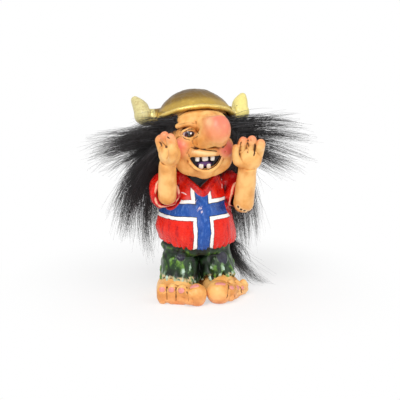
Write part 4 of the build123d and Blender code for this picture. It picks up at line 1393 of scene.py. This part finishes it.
def make_upper_hair(name):
    """Side tuft that stands out below the horn."""
    fur = settings("fur")
    draw = np.random.default_rng((fur.seed, 1, SIDES[name] + 1))
    roots, tips = side_locks(name, UPPER_LOCKS)
    bows = np.tile(UPPER_BOW, (len(roots), 1))
    lines = grow(draw, roots, tips, bows, fur.side_hairs, 2.4, 1.2, 44)
    fur_piece(f"{name}_upper_hair", draw, lines, UPPER_HIDE, SIDES[name])


def lower_bow(turn):
    """Bow of a hanging lock, by its root angle in degrees."""
    if turn < CHIN_ANGLE:
        return CHIN_BOW
    return NAPE_BOW if turn > NAPE_ANGLE else ARM_BOW


def make_lower_hair(name):
    """Side tuft that hangs behind the arm."""
    fur = settings("fur")
    draw = np.random.default_rng((fur.seed, 2, SIDES[name] + 1))
    roots, tips = side_locks(name, LOWER_LOCKS)
    bows = np.array([lower_bow(lock[0]) for lock in LOWER_LOCKS[name]])
    count = len(roots)
    lines = grow(draw, roots, tips, bows, fur.lock_hairs * count, 1.8, 1.2, 7 * count)
    fur_piece(f"{name}_lower_hair", draw, lines, LOWER_HIDE, SIDES[name])


def make_back_hair():
    """Tuft that covers the back of the head."""
    fur = settings("fur")
    draw = np.random.default_rng((fur.seed, 3))
    locks = np.array(BACK_LOCKS, float)
    count = len(locks)
    roots = scalp_point(np.radians(locks[:, 0]), np.full(count, BACK_LEVEL))
    tips = np.stack([locks[:, 1], np.full(count, BACK_DEPTH), locks[:, 2]], axis=1)
    bows = np.tile(BACK_BOW, (count, 1))
    lines = grow(draw, roots, tips, bows, fur.back_hairs, 3.2, 1.6, 60)
    fur_piece("back_hair", draw, lines, BACK_HIDE, coats=2)


def make_tail_tuft():
    """Tuft at the end of the tail, down to the ground."""
    fur = settings("fur")
    draw = np.random.default_rng((fur.seed, 4))
    roots = np.array([lock[:3] for lock in TAIL_LOCKS])
    tips = np.array([at_depth(*lock[3:6]) for lock in TAIL_LOCKS])
    bows = np.array([(lock[6], 0, lock[7]) for lock in TAIL_LOCKS])
    fur_piece("tail_tuft", draw, grow(draw, roots, tips, bows, fur.tail_hairs, 2.6, 1.6, 22))


# Stage

LAMPS = (  # name, azimuth and elevation in degrees, distance and size in metres
    ("key", -42, 48, 0.75, 0.4), ("fill", 50, 28, 0.9, 0.6), ("front", -10, 20, 0.9, 0.5),
)
LAMP_AIM = Vector((0, 0, 0.06))  # metres
CLIP_NEAR, CLIP_FAR = 0.01, 20  # metres
FLOOR_HALF, FLOOR_DROP = 3, 0.0002  # metres
FLOOR_FADE = (0.05, 0.13)  # metres from the figure over which the floor fades to white
WHITE = (1, 1, 1, 1)


def area_lamp(name, azimuth, elevation, distance, size, power):
    """Round soft lamp that points at the figure."""
    lamp = bpy.data.lights.new(name, "AREA")
    lamp.shape = "DISK"
    lamp.size = size
    lamp.energy = power
    way = outward(math.radians(azimuth), math.radians(elevation))
    made = bpy.data.objects.new(name, lamp)
    made.location = LAMP_AIM + way * distance
    made.rotation_euler = way.to_track_quat("Z", "Y").to_euler()
    bpy.context.scene.collection.objects.link(made)


def make_camera(lens):
    """Camera at the photograph's viewpoint."""
    scene = bpy.context.scene
    eye, right, up, back = camera_axes()
    camera = bpy.data.cameras.new("camera")
    camera.lens = lens
    camera.sensor_width = SENSOR
    camera.clip_start, camera.clip_end = CLIP_NEAR, CLIP_FAR
    held = bpy.data.objects.new("camera", camera)
    held.matrix_world = Matrix.Translation(eye) @ Matrix((right, up, back)).transposed().to_4x4()
    scene.collection.objects.link(held)
    scene.camera = held


def make_floor():
    """Pale floor that keeps the figure's shadow and fades to white around it."""
    bm = bmesh.new()
    bmesh.ops.create_grid(bm, x_segments=8, y_segments=8, size=FLOOR_HALF)
    bmesh.ops.translate(bm, verts=bm.verts, vec=(0, 0, -FLOOR_DROP))
    mesh = bpy.data.meshes.new("floor")
    bm.to_mesh(mesh)
    bm.free()
    p = Paint("pale_floor", shine=0.1)
    p.feed(p.shader.inputs["Base Color"], p.over((0.9, 0.9, 0.9), (0.93, 0.93, 0.93), p.grain(40)))
    p.shader.inputs["Roughness"].default_value = 0.9
    path = p.node("ShaderNodeLightPath").outputs
    plain = p.sums("MAXIMUM", path["Is Camera Ray"], path["Is Glossy Ray"])
    plain = p.sums("MAXIMUM", plain, path["Is Transmission Ray"])
    away = p.vector("LENGTH", p.spot).outputs["Value"]
    faded = p.times(plain, p.step(away, *FLOOR_FADE, first=0.55))
    glow = p.node("ShaderNodeEmission", {"Color": WHITE, "Strength": 1.0})
    mix = p.node("ShaderNodeMixShader", {0: faded, 1: p.shader.outputs[0], 2: glow.outputs[0]})
    p.feed(p.tree.nodes["Material Output"].inputs["Surface"], mix.outputs[0])
    mesh.materials.append(p.material)
    floor = bpy.data.objects.new("floor", mesh)
    bpy.context.scene.collection.objects.link(floor)


def make_world(sky):
    """Even light from all round, behind which the camera sees white."""
    scene = bpy.context.scene
    scene.world = scene.world or bpy.data.worlds.new("studio")
    scene.world.use_nodes = True
    tree = scene.world.node_tree
    tree.nodes.clear()
    soft, white = (tree.nodes.new("ShaderNodeBackground") for _ in range(2))
    both = tree.nodes.new("ShaderNodeMixShader")
    out = tree.nodes.new("ShaderNodeOutputWorld")
    ray = tree.nodes.new("ShaderNodeLightPath")
    soft.inputs["Strength"].default_value = sky
    soft.inputs["Color"].default_value = WHITE
    white.inputs["Color"].default_value = WHITE
    tree.links.new(ray.outputs["Is Camera Ray"], both.inputs[0])
    tree.links.new(soft.outputs[0], both.inputs[1])
    tree.links.new(white.outputs[0], both.inputs[2])
    tree.links.new(both.outputs[0], out.inputs["Surface"])


def make_stage():
    """Camera, lamps, floor and world."""
    stage = settings("stage")
    bpy.context.scene.view_settings.view_transform = "Standard"
    make_camera(stage.lens)
    for name, *place in LAMPS:
        area_lamp(name, *place, getattr(stage, name))
    make_floor()
    make_world(stage.sky)


# Operators

class TrollOperator:
    """What the operators share: each makes its pieces in one go."""
    bl_options = {"REGISTER", "UNDO"}

    def execute(self, context):
        self.make()
        return {"FINISHED"}


class TROLL_OT_stage(TrollOperator, bpy.types.Operator):
    """Sets the camera, the lamps and the pale floor"""
    bl_idname = "troll.stage"
    bl_label = "Stage"

    def make(self):
        make_stage()


class TROLL_OT_feet(TrollOperator, bpy.types.Operator):
    """Carves both bare feet"""
    bl_idname = "troll.feet"
    bl_label = "Feet"

    def make(self):
        for name in SIDES:
            carve_foot(name)


class TROLL_OT_trousers(TrollOperator, bpy.types.Operator):
    """Carves the ragged trousers"""
    bl_idname = "troll.trousers"
    bl_label = "Trousers"

    def make(self):
        carve_trousers()


class TROLL_OT_shirt(TrollOperator, bpy.types.Operator):
    """Carves the torn shirt and lays out its cross"""
    bl_idname = "troll.shirt"
    bl_label = "Shirt"

    def make(self):
        carve_shirt()


class TROLL_OT_forearms(TrollOperator, bpy.types.Operator):
    """Carves both forearms with their hands"""
    bl_idname = "troll.forearms"
    bl_label = "Forearms"

    def make(self):
        for name in SIDES:
            carve_forearm(name)


class TROLL_OT_head(TrollOperator, bpy.types.Operator):
    """Carves the head"""
    bl_idname = "troll.head"
    bl_label = "Head"

    def make(self):
        carve_head()


class TROLL_OT_eyes(TrollOperator, bpy.types.Operator):
    """Sets both painted eyes"""
    bl_idname = "troll.eyes"
    bl_label = "Eyes"

    def make(self):
        for name in SIDES:
            make_eye(name)


class TROLL_OT_teeth(TrollOperator, bpy.types.Operator):
    """Sets both rows of teeth"""
    bl_idname = "troll.teeth"
    bl_label = "Teeth"

    def make(self):
        make_teeth("upper_teeth", 1)
        make_teeth("lower_teeth", 0)


class TROLL_OT_helmet(TrollOperator, bpy.types.Operator):
    """Beats the helmet"""
    bl_idname = "troll.helmet"
    bl_label = "Helmet"

    def make(self):
        carve_helmet()


class TROLL_OT_horns(TrollOperator, bpy.types.Operator):
    """Carves both horns"""
    bl_idname = "troll.horns"
    bl_label = "Horns"

    def make(self):
        for name in SIDES:
            carve_horn(name)


class TROLL_OT_hair(TrollOperator, bpy.types.Operator):
    """Grows the five tufts of hair"""
    bl_idname = "troll.hair"
    bl_label = "Hair"

    def make(self):
        for name in SIDES:
            make_upper_hair(name)
            make_lower_hair(name)
        make_back_hair()


class TROLL_OT_tail(TrollOperator, bpy.types.Operator):
    """Carves the tail and grows its tuft"""
    bl_idname = "troll.tail"
    bl_label = "Tail"

    def make(self):
        carve_tail()
        make_tail_tuft()


class TROLL_OT_dowels(TrollOperator, bpy.types.Operator):
    """Gives the hidden dowels their wood"""
    bl_idname = "troll.dowels"
    bl_label = "Dowels"

    def make(self):
        for node in ("ankle_dowels", "waist_dowel", "neck_dowel", "elbow_dowels", "horn_dowels"):
            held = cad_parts[node]
            held.data.materials.clear()
            held.data.materials.append(dowel_wood())


STEPS = (TROLL_OT_stage, TROLL_OT_feet, TROLL_OT_trousers, TROLL_OT_shirt, TROLL_OT_forearms, TROLL_OT_head,
         TROLL_OT_eyes, TROLL_OT_teeth, TROLL_OT_helmet, TROLL_OT_horns, TROLL_OT_hair, TROLL_OT_tail,
         TROLL_OT_dowels)
GROUPS = {"paint": TrollPaint, "carving": TrollCarving, "fur": TrollFur, "stage": TrollStage}


class TROLL_PT_panel(bpy.types.Panel):
    """Lists the steps and the settings"""
    bl_idname = "TROLL_PT_panel"
    bl_label = "Troll Figure"
    bl_space_type = "VIEW_3D"
    bl_region_type = "UI"
    bl_category = "Troll"

    def draw(self, context):
        for step in STEPS:
            self.layout.operator(step.bl_idname)
        for kind, group in GROUPS.items():
            box = self.layout.box()
            for name in group.__annotations__:
                box.prop(getattr(context.scene, f"troll_{kind}"), name)


def register():
    for kind, group in GROUPS.items():
        bpy.utils.register_class(group)
        setattr(bpy.types.Scene, f"troll_{kind}", PointerProperty(type=group))
    for step in (*STEPS, TROLL_PT_panel):
        bpy.utils.register_class(step)


def unregister():
    for step in reversed((*STEPS, TROLL_PT_panel)):
        bpy.utils.unregister_class(step)
    for kind, group in GROUPS.items():
        delattr(bpy.types.Scene, f"troll_{kind}")
        bpy.utils.unregister_class(group)


def main():
    register()
    for step in STEPS:
        group, name = step.bl_idname.split(".")
        getattr(getattr(bpy.ops, group), name)()


if __name__ == "__main__":
    main()
